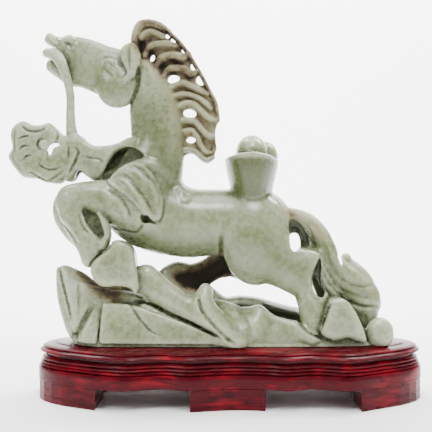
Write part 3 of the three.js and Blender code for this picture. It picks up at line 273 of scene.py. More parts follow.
def spline(points, steps, closed=False):
    """Smooth curve through points of any number of components."""
    points = np.array(points, float)
    count = len(points)

    def pick(i):
        return points[(i + count) % count if closed else min(max(i, 0), count - 1)]

    line = []
    for i in range(count if closed else count - 1):
        a, b, c, d = pick(i - 1), pick(i), pick(i + 1), pick(i + 2)
        for step in range(steps):
            t = step / steps
            bend = 2 * a - 5 * b + 4 * c - d
            twist = 3 * (b - c) + d - a
            line.append(b + 0.5 * t * (c - a + t * (bend + t * twist)))
    if not closed:
        line.append(points[-1])
    return np.array(line)


# %% [markdown]
# Four kinds of form make the whole figure: limbs that taper along a curve, eggs, plates with a
# drawn outline, and faceted rocks. Each knows its box and the distance of a point to its surface.

# %% Forms
class Form:
    """The corners of a form's box, and the distance of points to its surface."""

    def __init__(self, low, high, distance):
        self.low = np.array(low, float)
        self.high = np.array(high, float)
        self.distance = distance


def window(values, low, high):
    """The stretch of an axis's values between two limits, as a slice."""
    flat = values.ravel()
    return slice(int(np.searchsorted(flat, low)), int(np.searchsorted(flat, high)))


def limb(stations, steps=4):
    """Stations [x, y, z, radius, depth radius] joined by tapered ovals."""
    line = spline([place(s) for s in stations], steps)

    def distance(x, y, z):
        best = np.full((x.size, y.size, z.size), FAR, np.float32)
        for a, b in zip(line[:-1], line[1:]):
            r, d = max(a[3], b[3]) + LIMB_REACH, max(a[4], b[4]) + LIMB_REACH
            part = (window(x, min(a[0], b[0]) - r, max(a[0], b[0]) + r),
                    window(y, min(a[1], b[1]) - d, max(a[1], b[1]) + d),
                    window(z, min(a[2], b[2]) - r, max(a[2], b[2]) + r))
            px, py, pz = x[part[0]] - a[0], y[:, part[1]] - a[1], z[:, :, part[2]] - a[2]
            bx, by, bz = b[:3] - a[:3]
            t = np.clip((px * bx + py * by + pz * bz) / (bx * bx + by * by + bz * bz + 1e-9), 0, 1)
            flat = (px - bx * t) ** 2 + (pz - bz * t) ** 2
            deep = (py - by * t) ** 2
            rr, dd = (a[3] + (b[3] - a[3]) * t) ** 2, (a[4] + (b[4] - a[4]) * t) ** 2
            across, into = flat / rr, deep / dd
            k0 = np.sqrt(across + into)
            value = k0 * (k0 - 1) / (np.sqrt(across / rr + into / dd) + 1e-9)
            best[part] = np.minimum(best[part], value)
        return best

    low = [(line[:, k] - line[:, 4 if k == 1 else 3]).min() for k in range(3)]
    high = [(line[:, k] + line[:, 4 if k == 1 else 3]).max() for k in range(3)]
    return Form(low, high, distance)


def egg(centre, radii, tilt=0):
    """Centre, radii along its own axes, turned in the elevation by tilt degrees."""
    cx, cy, cz = place(centre)
    s = widening(cy)
    rx, ry, rz = radii[0] * s, radii[1], radii[2] * s
    cos, sin = math.cos(math.radians(tilt)), math.sin(math.radians(tilt))
    wide = max(rx, rz)

    def distance(x, y, z):
        u = (x - cx) * cos + (z - cz) * sin
        v = (z - cz) * cos - (x - cx) * sin
        w = y - cy
        k0 = np.sqrt((u / rx) ** 2 + (w / ry) ** 2 + (v / rz) ** 2)
        k1 = np.sqrt((u / rx ** 2) ** 2 + (w / ry ** 2) ** 2 + (v / rz ** 2) ** 2) + 1e-9
        return k0 * (k0 - 1) / k1

    return Form([cx - wide, cy - ry, cz - wide], [cx + wide, cy + ry, cz + wide], distance)


def path_distance(path, x, z):
    """Distance in the elevation to a line through points."""
    best = np.full(np.broadcast(x, z).shape, 1e9)
    for (ax, az), (bx, bz) in zip(path[:-1], path[1:]):
        ex, ez = bx - ax, bz - az
        t = np.clip(((x - ax) * ex + (z - az) * ez) / (ex * ex + ez * ez + 1e-9), 0, 1)
        best = np.minimum(best, (x - ax - ex * t) ** 2 + (z - az - ez * t) ** 2)
    return np.sqrt(best)


def outline_distance(outline, x, z):
    """Signed distance to a closed outline, negative inside."""
    closed = np.vstack([outline, outline[:1]])
    inside = np.zeros(np.broadcast(x, z).shape, bool)
    for (ax, az), (bx, bz) in zip(closed[:-1], closed[1:]):
        if az != bz:
            inside ^= ((az > z) != (bz > z)) & (x < ax + (bx - ax) * (z - az) / (bz - az))
    distance = path_distance(closed, x, z)
    return np.where(inside, -distance, distance)


def plate(drawn, near, far, edge, crown=0, crown_fade=6):
    """A drawn outline between two depths, rounded at the edge and crowned in the middle."""
    outline = spline([place([x, near, z]) for x, z in drawn], 4, closed=True)[:, [0, 2]]
    middle, half = (near + far) / 2, (far - near) / 2

    def distance(x, y, z):
        side = outline_distance(outline, x, z)
        swell = np.where(side < 0, crown * (1 - np.exp(np.minimum(side, 0) / crown_fade)), 0)
        a = side + edge
        b = np.abs(y - middle) - half - swell + edge
        return np.minimum(np.maximum(a, b), 0) + np.hypot(np.maximum(a, 0), np.maximum(b, 0)) - edge

    low, high = outline.min(axis=0), outline.max(axis=0)
    return Form([low[0], near - crown, low[1]], [high[0], far + crown, high[1]], distance)


def rock(drawn, edge=1):
    """The smallest convex body round the points, its ridges softened by edge."""
    points = np.array([place(p) for p in drawn])
    triples = np.array(list(combinations(range(len(points)), 3)))
    a, b, c = (points[triples[:, k]] for k in range(3))
    normals = np.cross(b - a, c - a)
    length = np.linalg.norm(normals, axis=1)
    a, normals = a[length > 1e-6], normals[length > 1e-6] / length[length > 1e-6, None]
    heights = normals @ points.T - np.sum(normals * a, axis=1)[:, None]
    normals[heights.min(axis=1) > -1e-6] *= -1
    outer = (heights.max(axis=1) < 1e-6) | (heights.min(axis=1) > -1e-6)
    a, normals = a[outer], normals[outer]
    known = []
    for normal, corner in zip(normals, a):
        if all(normal @ other < 0.99999 for other, _ in known):
            known.append((normal, normal @ corner))

    def distance(x, y, z):
        top = None
        for (nx, ny, nz), offset in known:
            value = nx * x + ny * y + nz * z - offset
            top = value if top is None else np.maximum(top, value)
        total = 0
        for (nx, ny, nz), offset in known:
            total = total + np.exp((nx * x + ny * y + nz * z - offset - top) / edge)
        return top + edge * np.log(total)

    return Form(points.min(axis=0), points.max(axis=0), distance)


def mirrored(form):
    """The same form on the far side."""
    low, high = form.low * [1, -1, 1], form.high * [1, -1, 1]

    def distance(x, y, z):
        turned = form.distance(x, -y[:, ::-1], z)
        return turned[:, ::-1]

    return Form(np.minimum(low, high), np.maximum(low, high), distance)


# %% [markdown]
# The clay takes these forms one after another. A groove is pressed along a drawn line, and lift()
# raises a fold inside a drawn outline, highest at its edge.

# %% Clay
TAPER = 7.0            # a groove runs out over this length at each end
SKIN_DEPTH = 9         # grooves and folds reach this far to either side of the skin
VIEW_SLACK = 0.08      # most that the perspective shifts a drawn point, as a share
BOX_MARGIN = 4         # a form acts this far beyond its box
SIGHT_NEAR = -60
THROUGH = 60


def smooth_min(a, b, blend):
    """The lesser of two distances, rounded where they are within blend of each other."""
    near = np.maximum(blend - np.abs(a - b), 0) / blend
    return np.minimum(a, b) - near * near * blend / 4


class Clay:
    """A block of clay: each grid point holds its distance to the surface, negative inside."""

    def __init__(self, low, high, cell):
        self.low = np.array(low, float)
        self.cell = cell
        self.count = np.ceil((np.array(high) - self.low) / cell).astype(int) + 1
        self.field = np.full(self.count, FAR, np.float32)

    def block(self, low, high, margin):
        """The part of the grid in a box, with the places of its points."""
        first = np.maximum(np.ceil((low - margin - self.low) / self.cell), 0).astype(int)
        last = np.minimum(np.floor((high + margin - self.low) / self.cell) + 1, self.count).astype(int)
        axes = [self.low[k] + np.arange(first[k], last[k]) * self.cell for k in range(3)]
        x, y, z = (axis.astype(np.float32) for axis in axes)
        part = tuple(slice(first[k], last[k]) for k in range(3))
        return part, x[:, None, None], y[None, :, None], z[None, None, :]

    def add(self, form, blend=1):
        part, x, y, z = self.block(form.low, form.high, blend + BOX_MARGIN)
        self.field[part] = smooth_min(self.field[part], form.distance(x, y, z), blend)

    def lay(self, stations, blend=1):
        """Adds a limb."""
        self.add(limb(stations), blend)

    def cut(self, form, blend=1):
        part, x, y, z = self.block(form.low, form.high, blend + BOX_MARGIN)
        self.field[part] = -smooth_min(-self.field[part], form.distance(x, y, z), blend)

    def on_view(self, line, reach, far, shape):
        """Adds shape(u, v) of the drawn place (u, v) to what lies near the surface before far."""
        slack = np.abs(line) * VIEW_SLACK + reach
        (low_u, low_v), (high_u, high_v) = (line - slack).min(axis=0), (line + slack).max(axis=0)
        low, high = np.array([low_u, SIGHT_NEAR, low_v]), np.array([high_u, far, high_v])
        part, x, y, z = self.block(low, high, 0)
        block = self.field[part]
        near = np.nonzero(np.abs(block) < SKIN_DEPTH)
        s = widening(y.ravel()[near[1]])
        u = EYE_X + (x.ravel()[near[0]] - EYE_X) / s
        v = EYE_Z + (z.ravel()[near[2]] - EYE_Z) / s
        block[near] += shape(u, v)

    def groove(self, drawn, width, depth, far=0):
        """A groove of a half width, shallower towards its ends; a negative depth is a ridge."""
        path = spline(drawn, 4)
        length = np.linalg.norm(np.diff(path, axis=0), axis=1).sum()
        fade = min(TAPER, length / 3)

        def shape(u, v):
            off = np.minimum(path_distance(path, u, v) / width, 1)
            to_end = np.minimum(np.hypot(u - path[0, 0], v - path[0, 1]),
                                np.hypot(u - path[-1, 0], v - path[-1, 1]))
            share = np.clip((to_end + width / 2) / (fade + width / 2), 0, 1)
            return depth * share * 0.5 * (1 + np.cos(math.pi * off))

        self.on_view(path, width + 1, far, shape)

    def sink(self, drawn, back, blend=1):
        """Cuts away what the eye sees inside a drawn outline, back to a depth."""
        outline = spline(drawn, 4, closed=True)
        corners = np.array([place([u, y, v]) for u, v in outline for y in (SIGHT_NEAR, back)])
        part, x, y, z = self.block(corners.min(axis=0), corners.max(axis=0), blend + BOX_MARGIN)
        s = widening(y)
        side = outline_distance(outline, EYE_X + (x - EYE_X) / s, EYE_Z + (z - EYE_Z) / s)
        self.field[part] = -smooth_min(-self.field[part], np.maximum(side, y - back), blend)

    def lift(self, drawn, height, fade, far=0):
        """Raises a fold inside a drawn outline, highest at its edge."""
        outline = spline(drawn, 4, closed=True)

        def shape(u, v):
            side = outline_distance(outline, u, v)
            rise = np.exp(np.minimum(side, 0) / fade) * np.minimum(1, -side / 1.2)
            return np.where(side < 0, -height * rise, 0)

        self.on_view(outline, 1, far, shape)


# %% [markdown]
# The surface is drawn out of the grid with one point in each cell that it passes through. Before
# that, single grid points are filled wherever two parts of the solid would meet at an edge or a
# corner only, so the skin is closed and never touches itself.

# %% Skin of the clay
JUST_INSIDE = -0.02


def close_pinches(field):
    """Fills grid points until no two parts of the solid meet only at an edge or a corner."""
    shape = field.shape
    flat = field.reshape(-1)
    stride = [shape[1] * shape[2], shape[2], 1]
    squares = [(stride[0], stride[1]), (stride[0], stride[2]), (stride[1], stride[2])]
    corners = [sum(stride[k] for k in range(3) if c >> k & 1) for c in range(8)]
    while True:
        inside = flat < 0
        last = len(flat) - corners[7]
        fills = []
        for u, v in squares:
            n = np.nonzero((inside[:last] != inside[u:last + u])
                           & (inside[:last] == inside[u + v:last + u + v])
                           & (inside[u:last + u] == inside[v:last + v]))[0]
            fills.append(np.stack([n, n + u, n + v, n + u + v], axis=1))
        inner = sum(inside[c:last + c].astype(np.int8) for c in corners)
        for p in range(4):
            one, other = (inside[corners[c]:last + corners[c]] for c in (p, 7 - p))
            n = np.nonzero(((inner == 2) & one & other) | ((inner == 6) & ~one & ~other))[0]
            fills.append(np.stack([n + c for c in corners], axis=1))
        changed = 0
        for nodes_of in fills:
            if len(nodes_of) == 0:
                continue
            values = flat[nodes_of]
            values = np.where(values >= 0, values, 1e9)
            least = nodes_of[np.arange(len(nodes_of)), values.argmin(axis=1)]
            flat[least] = JUST_INSIDE
            changed += len(least)
        if changed == 0:
            return


def skin(clay):
    """Points and four-sided faces of the clay's surface."""
    field = clay.field
    close_pinches(field)
    inside = field < 0
    cells = tuple(n - 1 for n in field.shape)
    count = np.zeros(cells, np.int8)
    for c in range(8):
        i, j, k = c & 1, c >> 1 & 1, c >> 2
        count += inside[i:cells[0] + i, j:cells[1] + j, k:cells[2] + k]
    active = np.nonzero((count > 0) & (count < 8))
    number = np.full(cells, -1, np.int32)
    number[active] = np.arange(len(active[0]))
    total = np.zeros((len(active[0]), 3))
    crossings = np.zeros(len(active[0]))
    for c in range(8):
        start = [c & 1, c >> 1 & 1, c >> 2]
        for axis in range(3):
            if start[axis]:
                continue
            end = list(start)
            end[axis] = 1
            p = field[tuple(active[k] + start[k] for k in range(3))]
            q = field[tuple(active[k] + end[k] for k in range(3))]
            cross = (p < 0) != (q < 0)
            share = np.where(cross, p / np.where(cross, p - q, 1), 0)
            for k in range(3):
                total[:, k] += np.where(cross, start[k] + (share if k == axis else 0), 0)
            crossings += cross
    points = np.stack(active, axis=1) + total / crossings[:, None]
    faces = []
    for axis in range(3):
        u, v = ((1, 2), (2, 0), (0, 1))[axis]
        a = [slice(1, -1)] * 3
        a[axis] = slice(0, -1)
        b = list(a)
        b[axis] = slice(1, None)
        first, second = inside[tuple(a)], inside[tuple(b)]
        found = np.stack(np.nonzero(first != second), axis=1)
        outward = first[tuple(found.T)]
        base = found + [0 if k == axis else 1 for k in range(3)]

        def cell(du, dv):
            at = base.copy()
            at[:, u] -= du
            at[:, v] -= dv
            return number[tuple(at.T)]

        ring = np.stack([cell(0, 0), cell(1, 0), cell(1, 1), cell(0, 1)], axis=1)
        ring[~outward] = ring[~outward][:, ::-1]
        faces.append(ring)
    return clay.low + points * clay.cell, np.concatenate(faces)


# %% [markdown]
# The horse itself: trunk, neck, head, ears and legs.

# %% Trunk, head and legs
def carve_body(clay):
    clay.lay([[-106, 0, 140, 31, 27], [-80, 0, 126, 38, 32], [-45, 0, 115, 35, 32], [-15, 0, 115, 33, 31],
        [15, 0, 114, 34, 32], [29, 0, 113, 34, 30]])
    clay.lay([[-84, 0, 266, 14, 12], [-79, 0, 254, 19, 14], [-75, 0, 232, 25, 17], [-72, 0, 210, 27, 19],
        [-72, 0, 188, 27, 22], [-80, 0, 163, 33, 27]], 6)
    for y in (-13, 13):
        clay.add(egg([26, y, 98], [35, 24, 46]), 6)
    clay.add(egg([-92, -15, 138], [31, 21, 38]), 6)
    clay.add(egg([-92, 15, 138], [31, 20, 36]), 6)


def carve_head(clay):
    clay.lay([[-108, 0, 262, 25, 14], [-128, 0, 267.5, 24.5, 14], [-143, 0, 275, 23, 12],
        [-158, 0, 283, 18, 11], [-170, 0, 290, 10, 10], [-178, 0, 297, 5, 8]], 3)
    clay.lay([[-182, -2, 297, 2.5, 5], [-180, -2, 301, 2.5, 5]], 4)
    for y in (-7, 7):
        clay.add(egg([-162, y, 296], [8, 6, 6], 25), 3)
    clay.lay([[-138, 0, 262, 13, 11], [-148, 0, 262.5, 12.5, 10], [-157, 0, 263, 12, 10],
        [-166, 0, 267, 10, 9], [-176, 0, 271, 7.5, 8]], 3)
    for y in (-8, 8):
        clay.add(egg([-112, y, 250], [21, 10, 21]), 3)
    clay.cut(limb([[-192, 0, 293, 3, 20], [-180, 0, 289, 2.5, 20], [-172, 0, 286, 1.5, 20]]))
    for side in (lambda form: form, mirrored):
        clay.add(side(egg([-120.5, -12.2, 269.5], [3, 2.6, 4.8], 28)), 0.6)
        clay.add(side(plate([[-109, 289], [-103, 294], [-97, 295], [-92, 290], [-89.5, 282], [-90, 273],
            [-93, 265], [-98, 259], [-105, 255], [-108, 258], [-103, 264], [-105, 271], [-109, 280]],
            -19, -9, 2, 1.5)), 2)
        clay.cut(side(limb([[-101, -22, 289, 1.5, 4], [-101, -22, 278, 2, 4], [-100, -22, 268, 1, 3]])), 2)
        clay.cut(side(limb([[-165, -12, 295, 1, 2], [-161, -12, 293, 2.2, 3], [-158, -12, 290, 1, 2]])), 2)
    clay.groove([[-93, 276], [-91, 262], [-92, 250], [-96, 240], [-101, 231]], 3.5, 2)
    clay.groove([[-126, 272], [-125, 268], [-121, 264], [-115, 261]], 1.6, 1.6)
    clay.groove([[-127, 273], [-123, 277], [-118, 276], [-114, 270]], 2.4, -1.4)
    clay.groove([[-128, 276], [-123, 280], [-117, 279]], 2, 0.8)
    clay.groove([[-183, 293], [-180, 290], [-173, 287], [-168, 284]], 1.5, 1.5)
    clay.groove([[-138, 249.5], [-134, 245], [-131, 237]], 2, 1.6)


SHIN_HOLLOW = [[-147, 127], [-138, 126], [-132, 122], [-129, 114], [-127, 106], [-126, 101], [-130, 100],
    [-134, 103], [-140, 110], [-144, 117]]


def carve_near_legs(clay):
    clay.lay([[-92, -18, 130, 28, 17], [-118, -22, 136, 22, 15], [-142, -26, 141, 15, 14],
        [-158, -29, 138, 15, 13]], 4)
    clay.lay([[-159, -30, 134, 15, 12], [-156, -31, 120, 13, 11], [-148, -32, 105, 13, 11],
        [-139, -33, 92, 14, 11], [-138, -33, 80, 11, 10]], 2)
    clay.lay([[-131, -32, 122, 4, 9], [-124, -33, 112, 4, 9], [-122, -33, 102, 4, 9],
        [-127, -33, 92, 7, 10]], 2)
    clay.lay([[-146, -29, 118, 7, 8], [-136, -29, 110, 9, 8], [-130, -29, 98, 8, 8]], 1)
    clay.sink(SHIN_HOLLOW, -30, 1.5)
    clay.add(plate([[-118, 96], [-109, 96], [-100, 91], [-96, 83], [-94, 72], [-92, 60], [-91, 50],
        [-95, 42], [-99, 48], [-112, 51], [-126, 50], [-135, 55], [-140, 66], [-138, 75], [-130, 84],
        [-121, 90]], -47, -20, 4, 2), 0.8)

    clay.lay([[24, -14, 100, 32, 20], [46, -18, 79, 26, 18], [62, -22, 65, 20, 15], [76, -25, 50, 14.5, 12],
        [83, -27, 34, 15.5, 12], [83, -28, 18, 13, 12], [82, -28, 8, 9, 11]], 4)
    clay.add(egg([46, -14, 66], [18, 14, 13]), 3)
    clay.add(egg([78, -19, 76], [16, 14, 13]), 8)
    clay.lay([[86, -26, 36, 10, 11], [95, -28, 42, 3.5, 7]], 2)
    clay.add(plate([[91, 4], [94, 14], [98, 26], [101, 36], [107, 38], [114, 38], [122, 32], [130, 18],
        [136, 3], [137, -6], [128, -4], [118, -1], [104, -4]], -47, -20, 4, 2), 0.8)


def carve_leg_lines(clay):
    clay.groove([[-151, 126], [-149, 116], [-144, 107], [-137, 100]], 1.8, 1.4, -20)
    clay.groove([[-147, 124], [-145, 114], [-139, 105], [-133, 99]], 1.8, -1.4, -20)
    clay.groove([[-174, 121], [-165, 112], [-158, 103], [-151, 92]], 1.8, 1.4, -10)
    clay.groove([[-171, 122], [-162, 113], [-155, 104], [-149, 94]], 1.8, -1.4, -10)
    clay.groove([[-117, 96], [-122, 88], [-130, 82], [-137, 76], [-140, 68]], 1.8, 2, -20)
    clay.groove([[103, 38], [99, 28], [94, 14], [90, 2]], 1.8, 2, -20)
    clay.groove([[67, 32], [69, 18], [73, 10], [80, 4], [89, 0], [100, -3]], 2.4, 2.6, -20)
    clay.sink(HOCK_HOLLOW, -16, 1.5)
    clay.sink(TAIL_HOLLOW, -2)
    clay.sink(TAIL_HOLE, THROUGH)


def carve_far_legs(clay):
    clay.lay([[-98, 16, 136, 26, 16], [-128, 21, 139, 18, 14], [-158, 25, 136, 15, 13],
        [-164, 26, 122, 12, 11], [-155, 27, 106, 11, 10], [-141, 27, 92, 10, 10], [-133, 27, 79, 10, 10]], 4)
    clay.add(plate([[-118, 94], [-104, 92], [-97, 80], [-95, 62], [-98, 50], [-118, 50], [-134, 52],
        [-138, 68], [-132, 82]], 16, 40, 4, 2), 0.8)
    clay.lay([[16, 16, 88, 26, 18], [-14, 17, 71, 13, 13], [-36, 16, 60, 14, 12], [-52, 13, 66, 10, 10],
        [-62, 11, 66, 6, 8]], 5)


# %% [markdown]
# Locks of the mane: centre lines drawn from the crest outwards, with their radius.

# %% Mane
LOCKS = [
    ([[-93, 288], [-93, 300], [-89, 310], [-80, 312], [-70, 309], [-62, 304]], 5.5),
    ([[-88, 297], [-84, 302], [-78, 304], [-72, 302], [-66, 299], [-60, 300]], 4),
    ([[-84, 280], [-81, 287], [-75, 291], [-67, 292], [-60, 292], [-53, 290]], 4.2),
    ([[-72, 270], [-68, 277], [-61, 280], [-54, 280], [-47, 279], [-42, 282]], 5.2),
    ([[-66, 260], [-61, 266], [-54, 268], [-46, 267], [-39, 263], [-33, 265]], 4.4),
    ([[-59, 248], [-53, 252], [-46, 253], [-38, 250], [-30, 246], [-22, 242]], 4),
    ([[-55, 240], [-47, 242], [-39, 241], [-31, 238], [-24, 233], [-19, 228]], 3.6),
    ([[-51, 230], [-43, 233], [-36, 232], [-29, 226], [-22, 219], [-14, 216]], 4.4),
    ([[-47, 216], [-39, 216], [-33, 213], [-27, 206], [-20, 200], [-13, 200]], 4.4),
    ([[-45, 205], [-38, 206], [-33, 201], [-29, 192], [-24, 185], [-18, 184]], 3.8),
    ([[-45, 187], [-38, 187], [-32, 184], [-27, 179], [-22, 177], [-17, 180]], 3.4),
]
MANE_RIM = [[-66, 308.5], [-60, 303.5], [-53, 297.5], [-46.5, 290], [-39.5, 280], [-33.5, 270],
    [-27.5, 260], [-22.5, 250], [-18.5, 242.5], [-14.5, 235.5], [-12.7, 227], [-11.7, 217], [-10.7, 207],
    [-12.7, 197], [-14.7, 189], [-17.5, 182.5]]
# Holes drilled between the locks: centre, half width, half height, tilt
MANE_HOLES = [[-62, 301, 2.4, 3.8, 8], [-56, 297.5, 2.8, 4.6, 8], [-45.5, 287, 2.6, 5, 8],
    [-77, 278.3, 2.3, 4.2, -12], [-35.5, 271.5, 3.4, 6.4, -8], [-56, 257.5, 6.2, 4.7, 8],
    [-28, 257, 5.4, 5.8, -30], [-18.4, 242.5, 1.7, 2.9, -30], [-39.8, 223.5, 6.6, 4.6, -8],
    [-38.5, 197, 4.6, 3.2, 0]]


def carve_mane(clay):
    clay.add(plate([[-97, 290], [-95, 303], [-91, 314], [-78, 315], [-68, 311], [-52, 299], [-38, 281],
        [-28, 264], [-18, 244], [-12, 230], [-10, 206], [-16, 183], [-22, 176], [-30, 182], [-40, 184],
        [-50, 183], [-60, 220], [-75, 255], [-88, 275]], -4, 4, 2), 1)
    for line, radius in LOCKS:
        stations = [[x, 0, z, radius, 11] for x, z in line]
        stations[-1][3:] = [radius * 0.8, 8]
        clay.add(limb(stations), 0.8)
    for x, z, wide, high, tilt in MANE_HOLES:
        clay.cut(egg([x, 0, z], [wide, 40, high], tilt), 0.8)
    clay.add(limb([[x, 0, z, 2.1, 7] for x, z in MANE_RIM], 2), 1)
    for line, _ in LOCKS:
        clay.groove([[x, z + 1.5] for x, z in line[1:]], 1.6, 0.9)


# %% [markdown]
# The ruyi: a stem held in the mouth and a cloud-shaped head, joined to the chest by a ribbon.

# %% Sceptre
RIBBON_HOLLOW = [[-127, 155], [-125, 165], [-120, 174], [-113, 183], [-105, 188.5], [-97, 189],
    [-90, 185.5], [-85.5, 180], [-92, 177], [-99, 175], [-108, 171], [-115, 165], [-121, 157]]


def carve_ruyi(clay):
    clay.add(plate([[-222, 180], [-218, 190], [-220, 202], [-217, 211], [-208, 217], [-198, 213],
        [-190, 213], [-181, 215], [-174, 209], [-168, 203], [-160, 202], [-152, 198], [-151, 186],
        [-155, 172], [-160, 162], [-168, 157], [-174, 154], [-184, 155], [-194, 159], [-206, 160],
        [-213, 166]], -16, 9, 4, 2.5), 1)
    clay.add(plate([[-160, 202], [-151, 203], [-145, 197], [-137, 193], [-125, 192], [-112, 195],
        [-102, 200], [-90, 200], [-85, 185], [-96, 188], [-106, 189], [-114, 186], [-121, 176], [-128, 160],
        [-136, 157], [-144, 161], [-152, 166], [-158, 158], [-166, 160]], -15, 13, 4, 2), 2)
    clay.lay([[-182, -10, 284, 5, 6], [-176, -12, 283, 6, 6], [-170, -14, 277, 6, 6],
        [-166, -15, 268, 5, 6], [-162, -15, 256, 4.4, 5], [-159, -14, 240, 4.2, 5],
        [-159, -12, 222, 4.5, 5], [-158, -9, 208, 5.5, 6], [-157, -8, 196, 6.5, 7]], 1)
    # the cloud: rolled upper lip, bevelled left band, three short arcs, two discs, lower rim
    clay.groove([[-210, 213], [-206, 210], [-202, 207], [-197, 206], [-192, 206], [-187, 207.5],
        [-182.5, 210.5]], 2.2, 2.4)
    clay.groove([[-214, 210], [-215.5, 200], [-215, 188], [-217, 180], [-211, 171], [-206, 165]], 2, 1.6)
    for arc in ([[-211, 198], [-208, 200], [-204, 201], [-201, 201]],
                [[-209, 187], [-208, 190], [-205, 191.5], [-202, 191.5]],
                [[-205.5, 177], [-204, 180], [-201, 182], [-198, 182]]):
        clay.groove(arc, 1.8, 2.8)
    clay.groove([[-205, 164], [-199, 164.5], [-193, 162], [-188, 159], [-182, 157], [-176, 159],
        [-170, 163], [-166, 167]], 1.8, 2)
    clay.groove([[-191, 176], [-189, 172], [-185, 169], [-179, 167.5], [-173, 168.5], [-168, 172]], 1.8, 2.2)
    clay.groove([[-184, 198.5], [-188, 198.5], [-191, 196], [-192, 192], [-190, 188.5], [-186, 187.5]],
        1.9, 3.2)
    clay.add(egg([-186, -17.5, 193], [4.6, 2.5, 4.6]), 1)
    for x, z, r in ([-179.5, 184, 1.6], [-179.5, 187, 2.4], [-178, 190, 2.4], [-175, 192, 2.2],
                    [-172, 192.5, 1.6]):
        clay.cut(limb([[x, -24, z, r, r], [x, 14, z, r, r]]), 0.5)
    clay.groove([[-181, 176], [-182, 182], [-180, 190], [-174, 194], [-169, 193]], 1.4, 1.2)
    clay.groove([[-171, 204], [-172, 199], [-174, 194]], 2, 2.6)
    clay.groove([[-161, 193], [-161, 183], [-162, 176]], 1.8, 2.2)
    clay.groove([[-154, 190], [-151, 185], [-153, 179], [-155, 174], [-158, 169], [-160, 164]], 2, 3)
    clay.cut(limb([[-156, -22, 163, 1.4, 8], [-156, -22, 159, 2, 8]]), 1)
    clay.groove([[-153, 218], [-152, 211], [-150, 205], [-146, 199], [-142, 195], [-136, 192], [-130, 192]],
        1.6, 1.6)
    clay.groove([[-150, 183], [-142, 180], [-130, 178], [-124, 172]], 3.5, 1.4)
    clay.groove([[-153, 158], [-152, 164], [-150, 166], [-146, 165], [-140, 160]], 1.8, 2.4)
    clay.lay([[-121, 5, 154, 8, 10], [-113, 5, 168, 10, 10], [-104, 5, 178, 10, 11], [-92, 4, 180, 12, 13]],
        1)
    clay.sink(RIBBON_HOLLOW, -12, 1.5)


# %% [markdown]
# The shoulder is a raised fold with three creases, a soft ridge beside each. The tail is one thick
# limb that splits into locks, hollowed at its root, with flutes along it.

# %% Shoulder and tail
def carve_shoulder(clay):
    clay.lift([[-122, 154], [-120, 160], [-115, 167], [-110, 170.5], [-105, 173], [-100, 175], [-93, 176],
        [-85, 172], [-78, 165], [-72, 155], [-68, 145], [-66, 134], [-67, 123], [-71, 116], [-82, 117],
        [-100, 138]], 2.6, 9)
    clay.groove([[-92, 175], [-80, 174], [-70, 170], [-60, 163], [-50, 152], [-44, 140]], 8, -2.2)
    for crease, deep in (
            ([[-98, 172], [-90, 168], [-85, 164], [-80, 159], [-75, 154], [-72, 149], [-70, 143],
              [-68, 134]], 1.1),
            ([[-112, 163], [-102, 160], [-97, 155], [-93, 150], [-89, 145], [-85, 140], [-80, 131],
              [-78, 124]], 1.4),
            ([[-122, 148], [-113, 142], [-108, 139], [-104, 133], [-101, 128], [-99, 118]], 1.2)):
        clay.groove(crease, 3, deep)
        clay.groove([[x - 4, z - 2.5] for x, z in crease], 5, -1.4)
    clay.groove([[-120, 113], [-112, 109], [-105, 107], [-95, 105], [-90, 108], [-87, 113], [-88, 118]],
        2.4, 2)
    clay.groove([[-66, 133], [-67, 123], [-70, 117], [-76, 114]], 3, 1.6)
    clay.cut(limb([[-88, -38, 121, 1.8, 11], [-86, -38, 117, 2.8, 12], [-81, -38, 116.5, 2.4, 11],
        [-75, -38, 114, 1.6, 9]]), 1)
    clay.cut(egg([-84, -34, 118], [4.2, 11, 4.2]), 1)
    clay.groove([[-8, 103], [-9, 92], [-8, 80], [-4, 70]], 4, 3)
    clay.groove([[80, 48], [84, 40], [90, 36]], 2, 1.5)


TAIL_HOLLOW = [[60, 117], [67, 116], [73, 110], [77, 102], [79, 92], [72, 90], [71, 98], [66, 104],
    [60, 104]]
TAIL_HOLE = [[60, 101], [63, 104], [67, 103], [69.5, 98], [70, 91], [68, 87], [64, 86], [61, 90]]
TAIL_NOTCH = [[107, 92], [110, 76], [111.5, 72], [112.2, 76], [111.4, 82], [113, 92]]
HOCK_HOLLOW = [[90, 79], [86, 71], [83, 62], [82, 54], [84, 47], [88, 41], [93, 40], [95, 44], [92, 53],
    [90.5, 63], [91, 72]]


